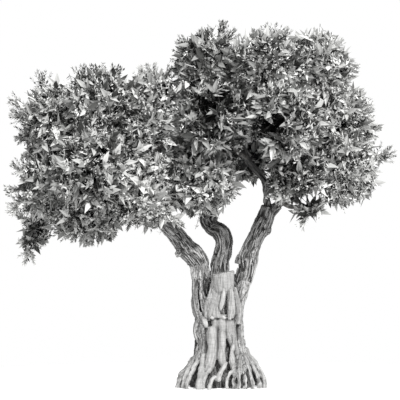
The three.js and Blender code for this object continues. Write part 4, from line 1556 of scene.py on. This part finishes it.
def grow_stars(bases, ways, depth, size, tone_shift, random):
    """Rows for the leaves of all stars, painted paler near the outside of their mass, as light."""
    fewest, most = STAR_LEAVES
    first, second = across_ways(ways, random)
    number = random.integers(fewest, most + 1, len(bases))
    level = STAR_TONE + tone_shift + random.normal(0, 0.8, len(bases))
    # Painted light: the nearer a star is to the outside of its mass, the paler its leaves.
    level = level + 4.0 * (np.minimum(depth, 1) - 0.88)
    rows = []
    for k in range(most):
        turn = 2 * math.pi * k / number + random.normal(0, 0.6, len(bases))
        out = np.cos(turn)[:, None] * first + np.sin(turn)[:, None] * second
        lean = np.radians(random.uniform(*STAR_LEAN, len(bases)))[:, None]
        along = unit(ways * np.cos(lean) + out * np.sin(lean))
        face = unit(ways * np.sin(lean) - out * np.cos(lean) + random.normal(0, 0.45, out.shape))
        leaf = random.uniform(*STAR_LEAF, len(bases)) * min(1.0, size + 0.3)
        tone = np.clip(np.round(level + random.normal(0, 0.6, len(bases))), 1, 4)
        rows.append(leaf_rows(bases, along, face, leaf, tone)[number > k])
    return np.vstack(rows)


# %% [markdown]
# Now every mass grows in turn: its layers of sprays, its stars and its shoots, and then their stems and
# leaves.

# %% Every mass of the crown
def grow(name, index):
    """Stems, small leaves and large leaves of one mass."""
    mass = Mass(name, index)
    random = mass.random
    groups = [spray_layer(mass, layer, STRAYS if key == "inner" else 0) for key, layer in LAYERS.items()]
    star_groups = [star_places(mass)]
    twigs = [mass.lines]
    for tip in metres(mass.table.get("shoots", [])).reshape(-1, 3):
        line, sprays, stars = shoot(mass, tip)
        twigs.append(line)
        groups.append(sprays)
        star_groups.append(stars)
    sprays = joined(groups)
    stars = joined(star_groups)

    # The mass's own tone paints light or shade on all its leaves.
    own_tone = mass.table.get("tone", 0.0)
    stood = [sprays[part] for part in ("bases", "heading", "length")]
    tone = sprays["tone"] + own_tone + 0.40 * random.normal(0, 1, len(mass.ways))[sprays["twig"]]
    leaves = grow_sprays(*stood, sprays["leaf"], tone, random)
    depth = np.linalg.norm((stars["bases"] - mass.middle) / mass.reach, axis=1)
    star_size = mass.table.get("star_size", mass.size)
    large_leaves = grow_stars(stars["bases"], stars["ways"], depth, star_size, 0.6 * own_tone, random)
    bends = random.normal(0, 0.01, stars["bases"].shape)
    star_stems = bent(stars["roots"], stars["bases"], bends, 0.0030, 0.0020, 3)
    stems = [*np.concatenate(twigs), *spray_stems(sprays["roots"], *stood), *star_stems]
    return {"stems": stems, "leaves": leaves, "large_leaves": large_leaves}


grown = {name: grow(name, index) for index, name in enumerate(MASSES)}
for kind in ("leaves", "large_leaves", "stems"):
    print(kind, sum(len(mass[kind]) for mass in grown.values()))

# %% [markdown]
# The limbs inside the crown and every twig are stems like those of the trunk, but thin ones, so a few
# sides are enough. They have a plain mottled finish.

# %% Limbs and twigs
LIMB_SIDES = 10
TWIG_SIDES = 3
DARK_TWIG = (0.05, 0.049, 0.047, 1)
LIGHT_TWIG = (0.16, 0.157, 0.15, 1)
twig_paint, maker, inputs = new_paint("twig_bark", Specular_IOR_Level=0.1)
mottle = maker.noise(maker.add("ShaderNodeTexCoord")["Object"], 38.0, 3.0)
maker.feed(inputs["Base Color"], maker.blend(mottle.step(0.3, 0.7), DARK_TWIG, LIGHT_TWIG))
maker.feed(inputs["Roughness"], 0.8 + (mottle - 0.5) * 0.3)

limbs_piece = lines_object("limbs", [limb_line(name) for name in MASSES])
run_tree(limbs_piece, stem_tree, Sides=LIMB_SIDES, Material=twig_paint)
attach(limbs_piece, "root")
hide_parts(*[node for node in nodes if node.startswith("limb_")])

for group, names in GROUPS.items():
    lines = [line for name in names for line in grown[name]["stems"]]
    twigs = run_tree(lines_object("twigs_" + group, lines), stem_tree, Sides=TWIG_SIDES, Material=twig_paint)
    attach(twigs, "root")
    print(twigs.name, triangles(twigs))

# %% [markdown]
# A leaf is lance-shaped, folded a little along its midrib and bent at its tip. The small ones have two
# faces and the large ones ten, which is all that shows at this size, because there are very many of them.
# Each is modelled once, one metre long, and is scaled where it grows.

# %% Two leaf shapes
def leaf_shape(name, points, faces):
    mesh = bpy.data.meshes.new(name)
    mesh.from_pydata(points, [], faces)
    return placed(name, mesh)


small_leaf = leaf_shape(
    "small_leaf",
    [(0, 0, 0), (0.46, -0.17, 0.05), (1, 0, -0.03), (0.46, 0.17, 0.05)],
    [(0, 1, 2), (0, 2, 3)],
)
large_leaf = leaf_shape(
    "large_leaf",
    [(0, 0, 0), (0.14, -0.06, 0.03), (0.40, -0.18, 0.06), (0.72, -0.10, 0.01), (1, 0, -0.06),
     (0.68, 0.12, 0.01), (0.44, 0.19, 0.06), (0.16, 0.07, 0.03), (0.38, 0, 0.01), (0.70, 0, -0.02)],
    [(0, 1, 8), (8, 1, 2), (8, 2, 9), (9, 2, 3), (9, 3, 4), (9, 4, 5), (9, 5, 6), (8, 9, 6), (8, 6, 7),
     (0, 8, 7)],
)
print("faces on a leaf:", len(small_leaf.data.polygons), "and", len(large_leaf.data.polygons))

# %% [markdown]
# The leaf colours are plain: each leaf has one of six greys, faintly green, which vary at random and also
# carry painted shade and light, from the darkest deep inside to the silvery ones outside in the light. The
# two darkest hardly shine, and the others have a waxy shine.

# %% Leaf finishes
LEAF_ROUGHNESS = 0.52
WAXY = 0.4
DULL = 0.05
leaf_paints = []
for name, colour in LEAF_TONES_AND_SHADES.items():
    shine = DULL if name in ("leaf_deep", "leaf_dark") else WAXY
    look = {"Base_Color": (*colour, 1), "Roughness": LEAF_ROUGHNESS, "Specular_IOR_Level": shine}
    leaf_paints.append(new_paint(name, **look)[0])
print("leaf colours:", len(leaf_paints))

# %% [markdown]
# Geometry Nodes put a leaf on every point: it is turned so that its length and its face follow the two
# directions stored there, scaled to its length, and made real. Then each colour is set on the leaves that
# were dealt it.

# %% A tree that leafs out the sprays
COLOURS = {f"Colour {number}": paint for number, paint in enumerate(leaf_paints)}
leaf_tree, maker, given = new_tree("leaves", {"Leaf": "Object", **dict.fromkeys(COLOURS, "Material")})
turn_values = {
    "Primary Axis": named(maker, "along", "FLOAT_VECTOR"),
    "Secondary Axis": named(maker, "face", "FLOAT_VECTOR"),
}
turn_settings = {"primary_axis": "X", "secondary_axis": "Z"}
instance_values = {
    "Points": given["Geometry"],
    "Instance": maker.add("GeometryNodeObjectInfo", None, {"Object": given["Leaf"]})["Geometry"],
    "Rotation": maker.add("FunctionNodeAxesToRotation", turn_settings, turn_values)["Rotation"],
    "Scale": named(maker, "length", "FLOAT"),
}
leaves = real(maker, maker.add("GeometryNodeInstanceOnPoints", None, instance_values)["Instances"])
tone = named(maker, "tone", "INT")
equal = {"data_type": "INT", "operation": "EQUAL"}
for number, colour in enumerate(COLOURS):
    same = maker.add("FunctionNodeCompare", equal, {2: tone, 3: number})["Result"]
    chosen = {"Geometry": leaves, "Selection": same, "Material": given[colour]}
    leaves = maker.add("GeometryNodeSetMaterial", None, chosen)["Geometry"]
end_tree(maker, leaves)
print("nodes in the tree of leaves:", len(leaf_tree.nodes))


def leaf_piece(name, rows, shape):
    """All leaves of one kind in one group, as a plain mesh."""
    mesh = mesh_of_points(name, rows[:, :3])
    write(mesh, "along", "FLOAT_VECTOR", rows[:, 3:6])
    write(mesh, "face", "FLOAT_VECTOR", rows[:, 6:9])
    write(mesh, "length", "FLOAT", rows[:, 9])
    write(mesh, "tone", "INT", rows[:, 10])
    piece = run_tree(placed(name, mesh), leaf_tree, Leaf=shape, **COLOURS)
    for attribute in ("along", "face", "length", "tone"):
        piece.data.attributes.remove(piece.data.attributes[attribute])
    return piece


total = 0
for group, names in GROUPS.items():
    for kind, shape in (("leaves", small_leaf), ("large_leaves", large_leaf)):
        rows = np.vstack([grown[name][kind] for name in names])
        piece = leaf_piece(kind + "_" + group, rows, shape)
        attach(piece, "root")
        if kind == "leaves":
            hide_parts(*["foliage_" + name for name in names if "foliage_" + name in nodes])
        total += triangles(piece)
        print(piece.name, triangles(piece))
bpy.data.objects.remove(small_leaf)
bpy.data.objects.remove(large_leaf)
print("leaf triangles:", total)
